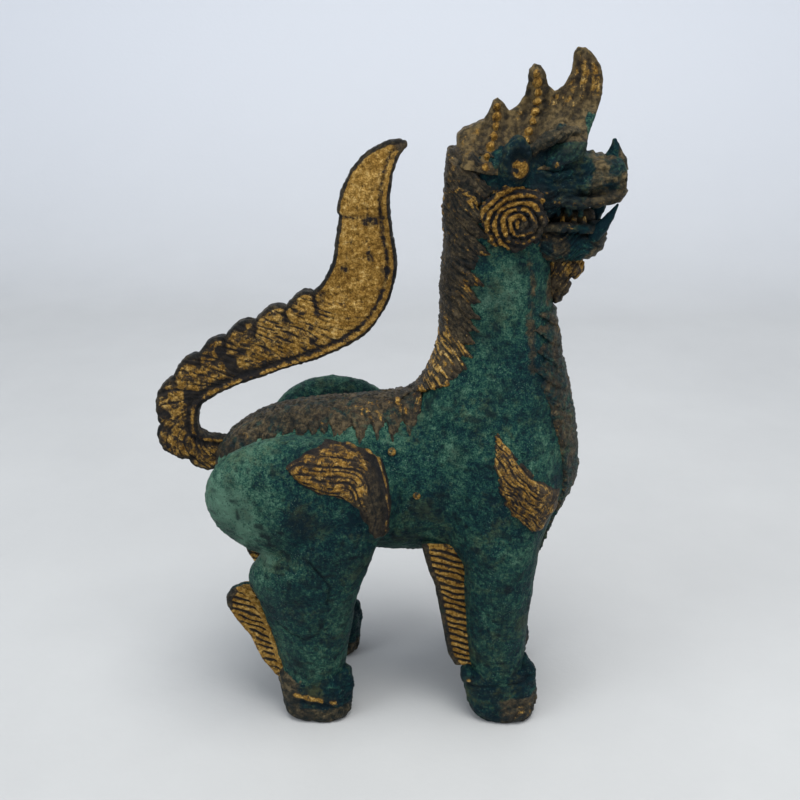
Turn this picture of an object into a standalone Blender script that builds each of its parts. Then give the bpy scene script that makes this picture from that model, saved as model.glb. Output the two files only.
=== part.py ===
"""Standing temple lion: a small hollow bronze figure, in metres, +Z up, +X towards the head.

The origin is at the middle of the footprint, on the plane that the paws stand on.
Every outline below is in millimetres; build() turns each finished piece into metres.
"""
import math

import bmesh
import bpy
from mathutils import Matrix, Vector

MM = 0.001
GAP = 0.3              # clearance between neighbouring pieces
WALL = 4.0             # wall thickness of the hollow body
MANE = 2.8             # how far the hair strips stand off the body
FLAME = 2.4            # how far the flame ornaments stand off the limbs
FIN_THICK = 5.0        # thickness of the ribbed leg fins
CREST_THICK = 5.4      # thickness of the crest comb
FORE_Y = 21.0          # side distance of the front paws from the middle plane
HIND_Y = 22.5          # side distance of the rear paws from the middle plane
DOWEL_R = 3.0          # leg dowels
TENON_R = 1.9          # tail tenon
NECK_R = 4.5           # neck dowel
PIN_R = 1.6            # core pins

VERDIGRIS = ("verdigris_bronze", (0.07, 0.21, 0.18), 0.62, 0.55)
GILT = ("worn_gilt", (0.55, 0.34, 0.10), 0.42, 0.85)
HAIR = ("brown_bronze", (0.16, 0.11, 0.06), 0.55, 0.7)
DARK = ("dark_bronze", (0.03, 0.05, 0.07), 0.5, 0.7)
CLAY = ("fired_clay", (0.33, 0.22, 0.16), 0.9, 0.0)
BRASS = ("plain_brass", (0.45, 0.33, 0.16), 0.4, 0.9)

# (x, bottom z, top z, half width): the trunk, from rump to chest
TRUNK = [(-66, 97, 105, 6), (-63, 87, 111, 13), (-56, 79, 117, 20), (-44, 72, 125, 24), (-28, 69.5, 128, 25),
         (-10, 68, 129, 25), (8, 67, 131, 25), (24, 68, 132, 25), (40, 73, 128, 20)]
# (z, back x, front x, half width): the chest and neck, going up
CHEST = [(66, 32, 57, 9), (69, 22, 61, 15), (76, 14, 66.5, 22), (83, 12, 69.3, 25), (90, 10, 72, 27),
         (97, 9.5, 74.8, 28), (105, 9, 76, 29), (118, 11, 74.5, 29), (130, 14, 72, 26.5), (141, 19, 69.5, 23.5),
         (152, 24, 67, 20.5), (165, 25, 65, 18.5), (180, 25.5, 64, 17.5), (194, 26, 63.5, 17), (204, 27, 62.5, 16.5)]
# (x, bottom z, top z, half width): skull and muzzle
HEAD = [(27, 206, 216, 6), (31, 200, 223, 12), (40, 197, 229, 16), (50, 196, 231, 17), (60, 199, 230, 16),
        (66, 204, 228, 15), (72, 205.5, 225.5, 13.5), (80, 206, 224, 12), (86, 208, 223, 10), (89, 212, 219, 6)]
JAW = [(54, 190, 198, 8), (58, 186.5, 200, 12), (66, 184.5, 200, 12.5), (74, 185, 199, 11.5),
       (80, 188, 200, 10), (84, 192, 199, 6)]
# (z, back x, front x, side distance, half width): limbs and paws, going up
FORELEG = [(16, 38.5, 56, 21, 6.8), (23, 38, 56.5, 21, 7.2), (30, 36, 58, 21, 9.4), (41, 35, 58.5, 21.2, 10.4),
           (55, 34, 59.5, 21.5, 11.2), (68, 33, 61, 21.5, 12.2), (80, 31, 63, 21, 13.2), (95, 29, 66, 19.5, 14),
           (110, 32, 65, 18.5, 13), (122, 38, 59, 17, 9), (128, 44, 53, 16, 4)]
SHANK = [(14, -36, -17, 22.5, 6.8), (21, -38, -15, 22.5, 7.2), (28, -40, -13, 22.6, 9.4),
         (40, -43, -11.5, 23, 11), (52, -46.5, -9.5, 23.8, 12), (62, -50, -6.5, 24.3, 12.6),
         (70, -48, -3.5, 24.5, 12.6), (78, -43, -1, 24.5, 12.4), (90, -39, 2, 24, 12)]
PAW_FRONT = [(0, 43, 60, 21, 8), (4, 39, 62.3, 21, 9.2), (9, 35, 63.4, 21, 9.6), (14, 34, 62.8, 21, 9.5),
             (19, 34.5, 61.2, 21, 9.2), (23, 36, 60, 21, 9)]
PAW_REAR = [(0, -31, -14, 22.5, 8.2), (4, -35, -12, 22.5, 9.2), (9, -38.5, -11, 22.5, 9.5),
            (14, -39.7, -10.8, 22.5, 9.5), (19, -39.7, -11, 22.5, 9.3), (23, -38.5, -12.5, 22.5, 9)]
# centre and radii of the haunch of each side; the left one is carried higher and further forward
HAUNCHES = {-1: ((-29.0, -24.0, 98.0), (36.0, 13.8, 25.0)), 1: ((-21.0, 24.2, 101.0), (33.0, 12.5, 28.8))}
BEARD = [(168, 62, 65.5, 0, 2.2), (172, 60, 68, 0, 4.5), (178, 60, 72.5, 0, 6.5), (186, 60, 75.5, 0, 8)]

# (x, z) outlines in the side view
COMB = [(28, 222), (28, 230), (34, 233), (37, 235), (39.5, 240), (41.3, 243), (43.5, 242), (46, 238),
        (48.5, 240), (51.5, 245), (52, 251), (54, 254), (57.5, 252.5), (59, 247), (61, 245), (64.5, 246.5),
        (67, 251), (67, 257), (68.5, 260), (72, 258.8), (75.6, 255), (77.8, 249.5), (77.4, 242), (75, 234),
        (72.5, 228), (70, 222), (50, 224)]
FIN_FRONT = [(18, 78), (20, 67), (22, 60), (25, 44), (28, 28), (31, 23), (40, 23), (40, 78)]
FIN_REAR = [(-37.4, 14.4), (-41.5, 18), (-46.5, 25.5), (-50, 37), (-55.5, 45), (-58.5, 51), (-58.5, 55),
            (-56.5, 58.5), (-52, 60.5), (-42, 60.5), (-34, 40)]
HAUNCH_FLAME = [(-34, 115), (-26, 120), (-17, 123.5), (-9, 124), (-3, 121.5), (1.5, 115), (5, 107), (7, 95),
                (4, 83), (-1, 84), (-4, 92), (-6, 99), (-12, 104), (-20, 107), (-27, 110)]
SHOULDER_FLAME = [(44, 130), (48, 123), (52, 117), (57, 110), (62, 105.5), (67, 101), (66, 95), (60, 91),
                  (53, 94), (48, 100), (45, 108), (43, 118)]

# (x, z, half width): centre line of the tail leaf from its root in the rump to its tip
TAIL = [(-62, 107, 6.5), (-71, 107.5, 7), (-78, 112, 7.5), (-79.8, 121, 8), (-76.5, 131, 8), (-67.5, 139, 9),
        (-55, 146, 10.5), (-41, 152.5, 12), (-26, 158.5, 12.5), (-12.5, 167, 13), (-6, 180, 12),
        (-5.5, 195, 10), (-5, 208, 8.5), (-1, 218, 6.5), (5, 225, 3), (9.5, 227.5, 0.8)]
TAIL_SCALLOPS = 7
TAIL_DEPTH = 3.4       # half thickness of the leaf


def clear_scene():
    for obj in list(bpy.data.objects):
        bpy.data.objects.remove(obj, do_unlink=True)


def material(spec):
    name, colour, roughness, metallic = spec
    mat = bpy.data.materials.get(name)
    if mat is None:
        mat = bpy.data.materials.new(name)
        mat.use_nodes = True
        shader = mat.node_tree.nodes["Principled BSDF"]
        shader.inputs["Base Color"].default_value = (*colour, 1.0)
        shader.inputs["Roughness"].default_value = roughness
        shader.inputs["Metallic"].default_value = metallic
    return mat


def new_object(bm, name):
    bmesh.ops.recalc_face_normals(bm, faces=bm.faces)
    mesh = bpy.data.meshes.new(name)
    bm.to_mesh(mesh)
    bm.free()
    obj = bpy.data.objects.new(name, mesh)
    bpy.context.scene.collection.objects.link(obj)
    return obj


def loft(rings, name="loft"):
    """A closed body through rings of the same number of points, with flat ends."""
    bm = bmesh.new()
    loops = [[bm.verts.new(p) for p in ring] for ring in rings]
    count = len(rings[0])
    for low, high in zip(loops, loops[1:]):
        for i in range(count):
            j = (i + 1) % count
            bm.faces.new((low[i], low[j], high[j], high[i]))
    for loop in (loops[0], loops[-1]):
        bm.faces.new(loop)
    bmesh.ops.triangulate(bm, faces=[f for f in bm.faces if len(f.verts) > 4])
    return new_object(bm, name)


def ellipse(centre, u, v, ru, rv, count, power=2.0):
    points = []
    for i in range(count):
        a = 2 * math.pi * (i + 0.5) / count
        c = math.cos(a)
        s = math.sin(a)
        cu = math.copysign(abs(c) ** (2 / power), c)
        cv = math.copysign(abs(s) ** (2 / power), s)
        points.append(centre + u * (ru * cu) + v * (rv * cv))
    return points


def smooth(points, count):
    """count points along a Catmull-Rom curve through the given tuples."""
    out = []
    last = len(points) - 1
    for k in range(count):
        t = last * k / (count - 1)
        i = min(int(t), last - 1)
        f = t - i
        p0 = points[max(i - 1, 0)]
        p1 = points[i]
        p2 = points[i + 1]
        p3 = points[min(i + 2, last)]
        out.append(tuple(0.5 * (2 * b + (c - a) * f + (2 * a - 5 * b + 4 * c - d) * f * f
                                + (3 * b - a - 3 * c + d) * f ** 3)
                         for a, b, c, d in zip(p0, p1, p2, p3)))
    return out


def along_x(table, grow, count, power=2.0):
    """Loft of (x, bottom z, top z, half width) sections, grown outwards by grow."""
    rings = []
    for k, (x, low, high, half) in enumerate(table):
        end = -grow if k == 0 else grow if k == len(table) - 1 else 0.0
        centre = Vector((x + end, 0, (low + high) / 2))
        rings.append(ellipse(centre, Vector((0, 1, 0)), Vector((0, 0, 1)),
                             half + grow, (high - low) / 2 + grow, count, power))
    return loft(rings)


def along_z(table, grow, count, side=1, power=2.0, flat=False):
    """Loft of (z, back x, front x, side distance, half width) sections, grown outwards by grow."""
    rings = []
    for k, (z, back, front, y, half) in enumerate(table):
        end = -grow if k == 0 else grow if k == len(table) - 1 else 0.0
        if flat and k == 0:
            end = 0.0
        centre = Vector(((back + front) / 2, side * y, z + end))
        rings.append(ellipse(centre, Vector((1, 0, 0)), Vector((0, 1, 0)),
                             (front - back) / 2 + grow, half + grow, count, power))
    return loft(rings)


def ball(centre, radii, segments=20, rings=12):
    bm = bmesh.new()
    bmesh.ops.create_uvsphere(bm, u_segments=segments, v_segments=rings, radius=1.0)
    bmesh.ops.transform(bm, matrix=Matrix.Translation(centre) @ Matrix.Diagonal((*radii, 1.0)), verts=bm.verts)
    return new_object(bm, "ball")


def rod(start, end, radius, tip=None, segments=16):
    """A straight round bar, or a cone when tip gives the end's radius."""
    start = Vector(start)
    end = Vector(end)
    axis = end - start
    bm = bmesh.new()
    bmesh.ops.create_cone(bm, cap_ends=True, cap_tris=False, segments=segments, radius1=radius,
                          radius2=radius if tip is None else tip, depth=axis.length)
    turn = Vector((0, 0, 1)).rotation_difference(axis.normalized()).to_matrix().to_4x4()
    bmesh.ops.transform(bm, matrix=Matrix.Translation((start + end) / 2) @ turn, verts=bm.verts)
    return new_object(bm, "rod")


def plate(outline, y_low, y_high, bevel=0.0):
    """The (x, z) outline, extruded along Y, with its edges rounded."""
    bm = bmesh.new()
    face = bm.faces.new([bm.verts.new((x, y_low, z)) for x, z in outline])
    extruded = bmesh.ops.extrude_face_region(bm, geom=[face])
    moved = [v for v in extruded["geom"] if isinstance(v, bmesh.types.BMVert)]
    bmesh.ops.translate(bm, vec=(0, y_high - y_low, 0), verts=moved)
    if bevel:
        rims = [e for e in bm.edges if abs(e.verts[0].co.y - e.verts[1].co.y) < 1e-6]
        bmesh.ops.bevel(bm, geom=rims, offset=bevel, segments=1, affect="EDGES")
    bmesh.ops.triangulate(bm, faces=bm.faces)
    return new_object(bm, "plate")


def combine(obj, others, operation):
    """Apply a Boolean of obj with each of others; the others are left as they are."""
    for other in others:
        mod = obj.modifiers.new("bool", "BOOLEAN")
        mod.operation = operation
        mod.solver = "EXACT"
        mod.object = other
        depsgraph = bpy.context.evaluated_depsgraph_get()
        result = bpy.data.meshes.new_from_object(obj.evaluated_get(depsgraph))
        obj.modifiers.clear()
        obj.data = result
    return obj


def discard(*objects):
    for obj in objects:
        bpy.data.objects.remove(obj, do_unlink=True)


def copy_of(obj):
    twin = obj.copy()
    twin.data = obj.data.copy()
    bpy.context.scene.collection.objects.link(twin)
    return twin


def box_volume(verts):
    sides = [max(v.co[i] for v in verts) - min(v.co[i] for v in verts) for i in range(3)]
    return sides[0] * sides[1] * sides[2]


def keep_main_body(obj):
    """Drop the slivers that a cut leaves beside the main body, and tidy doubled points."""
    bm = bmesh.new()
    bm.from_mesh(obj.data)
    bmesh.ops.remove_doubles(bm, verts=bm.verts, dist=0.001)
    bmesh.ops.triangulate(bm, faces=[f for f in bm.faces if len(f.verts) > 3])
    bm.verts.index_update()
    left = set(bm.verts)
    groups = []
    while left:
        stack = [left.pop()]
        group = set(stack)
        while stack:
            vert = stack.pop()
            for edge in vert.link_edges:
                near = edge.other_vert(vert)
                if near in left:
                    left.discard(near)
                    group.add(near)
                    stack.append(near)
        groups.append(group)
    main = max(groups, key=box_volume)
    bmesh.ops.delete(bm, geom=[v for v in bm.verts if v not in main], context="VERTS")
    bmesh.ops.holes_fill(bm, edges=[e for e in bm.edges if e.is_boundary], sides=4)
    bm.to_mesh(obj.data)
    bm.free()
    return obj


def finish(obj, name, spec):
    """Name the piece, give it its material, round its shading and turn it into metres."""
    keep_main_body(obj)
    obj.name = name
    obj.data.name = name
    obj.data.transform(Matrix.Scale(MM, 4))
    obj.data.materials.clear()
    obj.data.materials.append(material(spec))
    obj.data.shade_smooth()
    obj.data.set_sharp_from_angle(angle=math.radians(40))
    return obj


def body_solid(grow, count=22, skip=0):
    """Trunk and chest grown by grow; an inner form skips the small end sections."""
    trunk = along_x(TRUNK[skip:], grow, count)
    chest = along_z([(z, back, front, 0, half) for z, back, front, half in CHEST[skip:]], grow, count)
    combine(trunk, [chest], "UNION")
    discard(chest)
    return trunk


def hindleg_solid(side, grow):
    shank = along_z(SHANK, grow, 18, side)
    centre, radii = HAUNCHES[side]
    haunch = ball(centre, [r + grow for r in radii], 22, 14)
    combine(shank, [haunch], "UNION")
    discard(haunch)
    return shank


def foreleg_solid(side, grow):
    return along_z(FORELEG, grow, 18, side)


def paw_solid(table, side, grow):
    return along_z(table, grow, 16, side, power=2.6, flat=True)


def tail_solid(grow=0.0):
    """A flat leaf that curls up from the rump; its outer edge is scalloped."""
    stations = smooth(TAIL, 40)
    centres = [Vector((x, 0, z)) for x, z, _ in stations]
    rings = []
    for k, (x, z, half) in enumerate(stations):
        ahead = centres[min(k + 1, len(centres) - 1)]
        behind = centres[max(k - 1, 0)]
        forward = (ahead - behind).normalized()
        outward = Vector((-forward.z, 0, forward.x))
        phase = (TAIL_SCALLOPS * k / (len(stations) - 1)) % 1.0
        lobe = 1.8 * math.sin(math.pi * phase) * min(1.0, half / 8)
        depth = TAIL_DEPTH * min(1.0, 0.35 + half / 9)
        wide = max(half + lobe / 2, 0.8) + grow
        rings.append(ellipse(centres[k] + outward * (lobe / 2), outward, Vector((0, 1, 0)),
                             wide, depth + grow, 10))
    return loft(rings)


def curl_solid(side):
    """A cheek scroll: a round boss turned with two raised rings."""
    profile = [(0.0, 3.4), (2.2, 3.2), (3.4, 1.9), (5.0, 2.9), (6.6, 2.7), (7.8, 1.5), (9.4, 2.3), (11.2, 1.9),
               (12.2, 0.2), (12.2, -6.0), (0.0, -6.0)]
    bm = bmesh.new()
    chain = [bm.verts.new((r, 0, h)) for r, h in profile]
    edges = [bm.edges.new(pair) for pair in zip(chain, chain[1:])]
    bmesh.ops.spin(bm, geom=chain + edges, cent=(0, 0, 0), axis=(0, 0, 1), angle=2 * math.pi, steps=20,
                   use_merge=True)
    bmesh.ops.remove_doubles(bm, verts=bm.verts, dist=0.001)
    face_out = Matrix.Rotation(-side * math.radians(90), 4, "X")
    bmesh.ops.transform(bm, matrix=Matrix.Translation((48, side * 18.2, 203.5)) @ face_out, verts=bm.verts)
    return new_object(bm, "curl")


def build():
    clear_scene()
    body_near = body_solid(GAP)
    body_far = body_solid(MANE)
    head = along_x(HEAD, 0, 20, 2.3)
    head_near = along_x(HEAD, GAP, 20, 2.3)
    jaw_near = along_x(JAW, GAP, 16, 2.3)

    # hollow body and the clay core inside it
    body = body_solid(0)
    cavity = body_solid(-WALL, 14, 1)
    combine(body, [cavity], "DIFFERENCE")
    discard(cavity)
    core = body_solid(-WALL - 2 * GAP, 14, 1)

    holes = []

    def pin(name, start, end, radius, spec, cut_pieces):
        holes.append((rod(start, end, radius + GAP), cut_pieces))
        finish(rod(start, end, radius), name, spec)

    # head and the pieces on it
    combine(head, [body_near], "DIFFERENCE")
    jaw = combine(along_x(JAW, 0, 16, 2.3), [head_near, body_near], "DIFFERENCE")
    tongue = combine(ball((72, 0, 201.6), (9, 6, 2.2), 14, 8), [jaw_near, head_near, body_near], "DIFFERENCE")
    finish(tongue, "tongue", HAIR)
    horn = combine(rod((83, 0, 219), (84.2, 0, 229.6), 4.2, 0.8, 12), [head_near], "DIFFERENCE")
    finish(horn, "nose_horn", DARK)
    nape_box = plate([(5, 137), (24, 137), (40, 150), (40, 226), (20, 226), (14, 150)], -9, 9)
    nape = combine(copy_of(body_far), [nape_box], "INTERSECT")
    upper = combine(along_x(HEAD, MANE, 20, 2.3), [nape_box], "INTERSECT")
    combine(nape, [upper], "UNION")
    combine(nape, [body_near, head_near], "DIFFERENCE")
    discard(upper, nape_box)
    comb = plate(COMB, -CREST_THICK / 2, CREST_THICK / 2, 0.9)
    combine(comb, [head_near, body_near], "DIFFERENCE")
    comb_near = plate(COMB, -CREST_THICK / 2 - GAP, CREST_THICK / 2 + GAP)
    back_edge = plate([(28 - GAP, 221.7), (28 - GAP, 230.4), (60, 230.4), (60, 221.7)], -3, 3)
    combine(nape, [comb_near, back_edge], "DIFFERENCE")
    discard(comb_near, back_edge)
    finish(nape, "nape_mane", HAIR)
    finish(comb, "crest_comb", GILT)

    for side, word in ((-1, "right"), (1, "left")):
        eye = combine(ball((63, side * 14.2, 218.5), (3.2, 3.2, 3.2), 12, 8), [head_near], "DIFFERENCE")
        finish(eye, "eye_" + word, GILT)
        ear_rings = [ellipse(Vector((x, side * y, z)), Vector((1, 0, 0)), Vector((0, 1, 0)), rx, ry, 12)
                     for x, y, z, rx, ry in ((44, 13, 214, 6, 3.4), (45, 16, 219, 6, 3.2), (46.5, 18, 224, 4.8, 2.4),
                                             (48, 19.4, 229.5, 1.2, 0.8))]
        curl = curl_solid(side)
        curl_near = rod((48, side * 10, 203.5), (48, side * 22.4, 203.5), 12.2 + GAP, segments=20)
        combine(curl, [head_near, body_near], "DIFFERENCE")
        finish(curl, "cheek_curl_" + word, GILT)
        ear = combine(loft(ear_rings), [head_near, curl_near], "DIFFERENCE")
        finish(ear, "ear_" + word, DARK)
        combine(jaw, [curl_near], "DIFFERENCE")
        fang = rod((80.0, side * 5.6, 208), (80.8, side * 5.6, 200.4), 1.7, 0.5, 10)
        combine(fang, [head_near, jaw_near], "DIFFERENCE")
        finish(fang, "upper_fang_" + word, DARK)
        tusk = rod((77.5, side * 9.0, 197.0), (86.0, side * 10.0, 206.0), 1.9, 0.6, 10)
        combine(tusk, [jaw_near, head_near], "DIFFERENCE")
        finish(tusk, "lower_tusk_" + word, DARK)
        discard(curl_near)

    beard = along_z(BEARD, 0, 14)
    combine(beard, [jaw_near, body_near, body_far], "DIFFERENCE")

    # limbs, paws, fins and flames
    for side, word in ((-1, "right"), (1, "left")):
        fore = combine(foreleg_solid(side, 0), [body_near], "DIFFERENCE")
        hind = combine(hindleg_solid(side, 0), [body_near], "DIFFERENCE")
        fore_near = foreleg_solid(side, GAP)
        hind_near = hindleg_solid(side, GAP)

        for table, limb_near, place in ((PAW_FRONT, fore_near, "front"), (PAW_REAR, hind_near, "rear")):
            paw = combine(paw_solid(table, side, 0), [limb_near], "DIFFERENCE")
            finish(paw, "paw_%s_%s" % (place, word), DARK)
            outline = FIN_FRONT if place == "front" else FIN_REAR
            middle = side * (FORE_Y if place == "front" else HIND_Y)
            fin = plate(outline, middle - FIN_THICK / 2, middle + FIN_THICK / 2, 0.8)
            paw_near = paw_solid(table, side, GAP)
            combine(fin, [limb_near, paw_near, body_near], "DIFFERENCE")
            discard(paw_near)
            finish(fin, "fin_%s_%s" % (place, word), GILT)

        flame = plate(SHOULDER_FLAME, *sorted((side * 14, side * 60)))
        fore_far = foreleg_solid(side, FLAME)
        body_flame = body_solid(FLAME)
        combine(fore_far, [body_flame], "UNION")
        combine(flame, [fore_far], "INTERSECT")
        combine(flame, [fore_near, body_near], "DIFFERENCE")
        finish(flame, "shoulder_flame_" + word, GILT)
        discard(fore_far, body_flame)

        flame = plate(HAUNCH_FLAME, *sorted((side * 26, side * 60)))
        hind_far = hindleg_solid(side, FLAME)
        combine(flame, [hind_far], "INTERSECT")
        combine(flame, [hind_near, body_near], "DIFFERENCE")
        finish(flame, "haunch_flame_" + word, GILT)
        discard(hind_far)

        pin("leg_dowel_front_" + word, (47, side * 15, 96), (47, side * 28, 96), DOWEL_R, BRASS, [fore, body, core])
        pin("leg_dowel_rear_" + word, (-27, side * 15, 98), (-27, side * 31, 98), DOWEL_R, BRASS,
            [hind, body, core])
        pin("core_pin_front_" + word, (15, side * 15, 100), (15, side * 25.2, 100), PIN_R, GILT, [body, core])
        pin("core_pin_rear_" + word, (5.5, side * 12, 116), (5.5, side * 21.6, 116), PIN_R, GILT,
            [hind, body, core])
        for cutter, pieces in holes:
            combine_each(cutter, pieces)
            discard(cutter)
        holes.clear()
        finish(fore, "foreleg_" + word, VERDIGRIS)
        finish(hind, "hindleg_" + word, VERDIGRIS)
        discard(fore_near, hind_near)

    # hair on the back and chest
    chest_box = plate([(56, 66), (90, 66), (90, 168), (56, 168)], -9, 9)
    chest = combine(copy_of(body_far), [chest_box], "INTERSECT")
    combine(chest, [body_near], "DIFFERENCE")
    back_box = plate([(-64, 100), (9, 112), (9, 150), (-64, 150)], -15, 15)
    back = combine(copy_of(body_far), [back_box], "INTERSECT")
    combine(back, [body_near], "DIFFERENCE")
    for side in (-1, 1):
        near = hindleg_solid(side, GAP)
        combine(back, [near], "DIFFERENCE")
        near_fore = foreleg_solid(side, GAP)
        combine(chest, [near_fore], "DIFFERENCE")
        discard(near, near_fore)
    discard(chest_box, back_box)
    finish(chest, "chest_mane", HAIR)
    finish(beard, "beard_tuft", HAIR)

    # tail let into the rump
    tail = tail_solid()
    tail_near = tail_solid(GAP)
    combine(tail, [body_near], "DIFFERENCE")
    combine(back, [tail_near], "DIFFERENCE")
    finish(back, "back_mane", HAIR)
    discard(tail_near)
    pin("tail_tenon", (-76, 0, 108.5), (-52, 0, 105.5), TENON_R, BRASS, [tail, body, core])
    pin("neck_dowel", (46, 0, 186), (46, 0, 216), NECK_R, BRASS, [head, body, core])
    for cutter, pieces in holes:
        combine_each(cutter, pieces)
        discard(cutter)
    finish(tail, "tail", GILT)
    finish(head, "head_casting", VERDIGRIS)
    finish(jaw, "lower_jaw", DARK)
    finish(core, "clay_core", CLAY)
    finish(body, "body_casting", VERDIGRIS)
    discard(body_near, body_far, head_near, jaw_near)


def combine_each(cutter, pieces):
    for piece in pieces:
        combine(piece, [cutter], "DIFFERENCE")


build()
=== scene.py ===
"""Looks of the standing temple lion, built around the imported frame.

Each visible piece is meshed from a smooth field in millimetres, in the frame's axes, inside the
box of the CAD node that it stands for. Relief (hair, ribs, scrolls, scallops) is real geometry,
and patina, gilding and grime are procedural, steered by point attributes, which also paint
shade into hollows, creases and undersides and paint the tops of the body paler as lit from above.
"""
import math

import bpy
import numpy as np
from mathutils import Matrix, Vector


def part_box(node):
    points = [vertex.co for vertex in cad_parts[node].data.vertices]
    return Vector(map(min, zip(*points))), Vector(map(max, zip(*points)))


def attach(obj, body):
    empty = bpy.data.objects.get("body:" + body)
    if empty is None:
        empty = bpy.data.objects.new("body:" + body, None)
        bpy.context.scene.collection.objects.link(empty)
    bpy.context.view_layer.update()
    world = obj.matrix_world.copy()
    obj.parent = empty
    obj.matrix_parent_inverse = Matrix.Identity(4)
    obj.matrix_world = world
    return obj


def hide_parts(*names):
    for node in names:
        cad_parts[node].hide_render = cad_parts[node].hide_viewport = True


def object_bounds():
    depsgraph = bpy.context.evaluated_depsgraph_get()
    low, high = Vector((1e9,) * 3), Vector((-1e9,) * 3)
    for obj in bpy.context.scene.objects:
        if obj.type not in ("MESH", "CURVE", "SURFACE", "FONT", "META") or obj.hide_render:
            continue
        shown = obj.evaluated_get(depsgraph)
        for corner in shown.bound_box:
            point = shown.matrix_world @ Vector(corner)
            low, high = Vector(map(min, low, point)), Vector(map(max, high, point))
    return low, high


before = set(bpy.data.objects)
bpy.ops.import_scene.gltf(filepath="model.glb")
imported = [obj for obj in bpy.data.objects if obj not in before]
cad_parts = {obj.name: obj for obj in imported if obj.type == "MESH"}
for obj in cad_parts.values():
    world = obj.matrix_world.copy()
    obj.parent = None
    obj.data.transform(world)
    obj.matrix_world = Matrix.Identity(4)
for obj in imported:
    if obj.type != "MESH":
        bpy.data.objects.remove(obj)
cad_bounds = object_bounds()

MM = 1000.0
SIDES = ("right", "left")
PERIOD = 48         # lattice points after which the noise repeats
OFFSET = 1000.0     # keeps lattice positions positive
rng = np.random.default_rng(7)
LATTICE = rng.random((PERIOD, PERIOD, PERIOD)).astype(np.float32)


# ------------------------ field tools

def unit(value):
    return np.clip(value, 0, 1)


def smin(a, b, k):
    h = unit(0.5 + 0.5 * (b - a) / k)
    return b + (a - b) * h - k * h * (1 - h)


def smax(a, b, k):
    return -smin(-a, -b, k)


def step(low, high, value):
    t = unit((value - low) / (high - low))
    return t * t * (3 - 2 * t)


def bump(value, width):
    return np.exp(-(value / width) ** 2)


def noise(x, y, z, size):
    """Smooth value noise from 0 to 1 with features of about size millimetres."""
    out = 0
    axes = []
    for c in (x, y, z):
        c = np.asarray(c, dtype=np.float32) / size + OFFSET
        i = np.floor(c)
        f = c - i
        axes.append((i.astype(np.int32), f * f * (3 - 2 * f)))
    for corner in range(8):
        index = []
        weight = 1.0
        for a, (i, f) in enumerate(axes):
            on = (corner >> a) & 1
            index.append((i + on) % PERIOD)
            weight = weight * (f if on else 1 - f)
        out = out + LATTICE[index[0], index[1], index[2]] * weight
    return out


def curve(points, count):
    """count points on a Catmull-Rom curve through the given rows."""
    p = np.array(points, dtype=float)
    last = len(p) - 1
    t = np.linspace(0, last, count)
    i = np.minimum(t.astype(int), last - 1)
    f = (t - i)[:, None]
    a, b, c, d = p[np.maximum(i - 1, 0)], p[i], p[i + 1], p[np.minimum(i + 2, last)]
    square = 2 * a - 5 * b + 4 * c - d
    cube = 3 * b - a - 3 * c + d
    return 0.5 * (2 * b + (c - a) * f + square * f ** 2 + cube * f ** 3)


def through(table, at):
    """The table's other columns, smoothly, at positions along its first column."""
    dense = curve(table, 20 * len(table))
    place, *columns = dense[np.argsort(dense[:, 0])].T
    return [np.interp(at, place, column).astype(np.float32) for column in columns]


def oval(u, v, ru, rv, power):
    q = (np.abs(u) / ru) ** power + (np.abs(v) / rv) ** power
    return (q ** (1 / power) - 1) * np.minimum(ru, rv)


def loft_x(table, x, y, z, power=2.0, k=3.0):
    low, high, half = through(table, x)
    f = oval(y, z - (low + high) / 2, half, (high - low) / 2, power)
    return smax(f, smax(table[0][0] - x, x - table[-1][0], k), k)


def loft_z(table, x, y, z, power=2.0, k=3.0):
    back, front, mid, half = through(table, z)
    f = oval(x - (back + front) / 2, y - mid, (front - back) / 2, half, power)
    return smax(f, smax(table[0][0] - z, z - table[-1][0], k), k)


def ball(centre, radii, x, y, z):
    rx, ry, rz = radii
    u, v, w = x - centre[0], y - centre[1], z - centre[2]
    k0 = np.sqrt((u / rx) ** 2 + (v / ry) ** 2 + (w / rz) ** 2)
    k1 = np.sqrt((u / rx ** 2) ** 2 + (v / ry ** 2) ** 2 + (w / rz ** 2) ** 2) + 1e-6
    return k0 * (k0 - 1) / k1


def limb(a, b, ra, rb, x, y, z):
    """A round cone from a to b."""
    ax, ay, az = a
    dx, dy, dz = (b[i] - a[i] for i in range(3))
    square = dx * dx + dy * dy + dz * dz
    t = unit(((x - ax) * dx + (y - ay) * dy + (z - az) * dz) / square)
    d = np.sqrt((x - ax - t * dx) ** 2 + (y - ay - t * dy) ** 2 + (z - az - t * dz) ** 2)
    return d - (ra + (rb - ra) * t)


def cord(points, radii, x, y, z, k=0.5):
    """Round cones joined along points."""
    out = None
    for a, b, ra, rb in zip(points, points[1:], radii, radii[1:]):
        f = limb(a, b, ra, rb, x, y, z)
        out = f if out is None else smin(out, f, k)
    return out


def outline(points, x, z):
    """Signed distance in the side plane to a closed outline, negative inside."""
    x, z = np.broadcast_arrays(x, z)
    closed = points + points[:1]
    inside = np.zeros(x.shape, dtype=bool)
    for (ax, az), (bx, bz) in zip(closed, closed[1:]):
        crossing = (bx - ax) * (z - az) / ((bz - az) or 1e-9) + ax
        inside ^= ((az > z) != (bz > z)) & (x < crossing)
    return np.where(inside, -1, 1) * near_line(closed, x, z)


def near_line(points, x, z):
    """Distance in the side plane to an open line."""
    best = 1e9
    for (ax, az), (bx, bz) in zip(points, points[1:]):
        dx, dz = bx - ax, bz - az
        t = unit(((x - ax) * dx + (z - az) * dz) / (dx * dx + dz * dz))
        best = np.minimum(best, (x - ax - t * dx) ** 2 + (z - az - t * dz) ** 2)
    return np.sqrt(best)


# ------------------------ meshing

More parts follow.
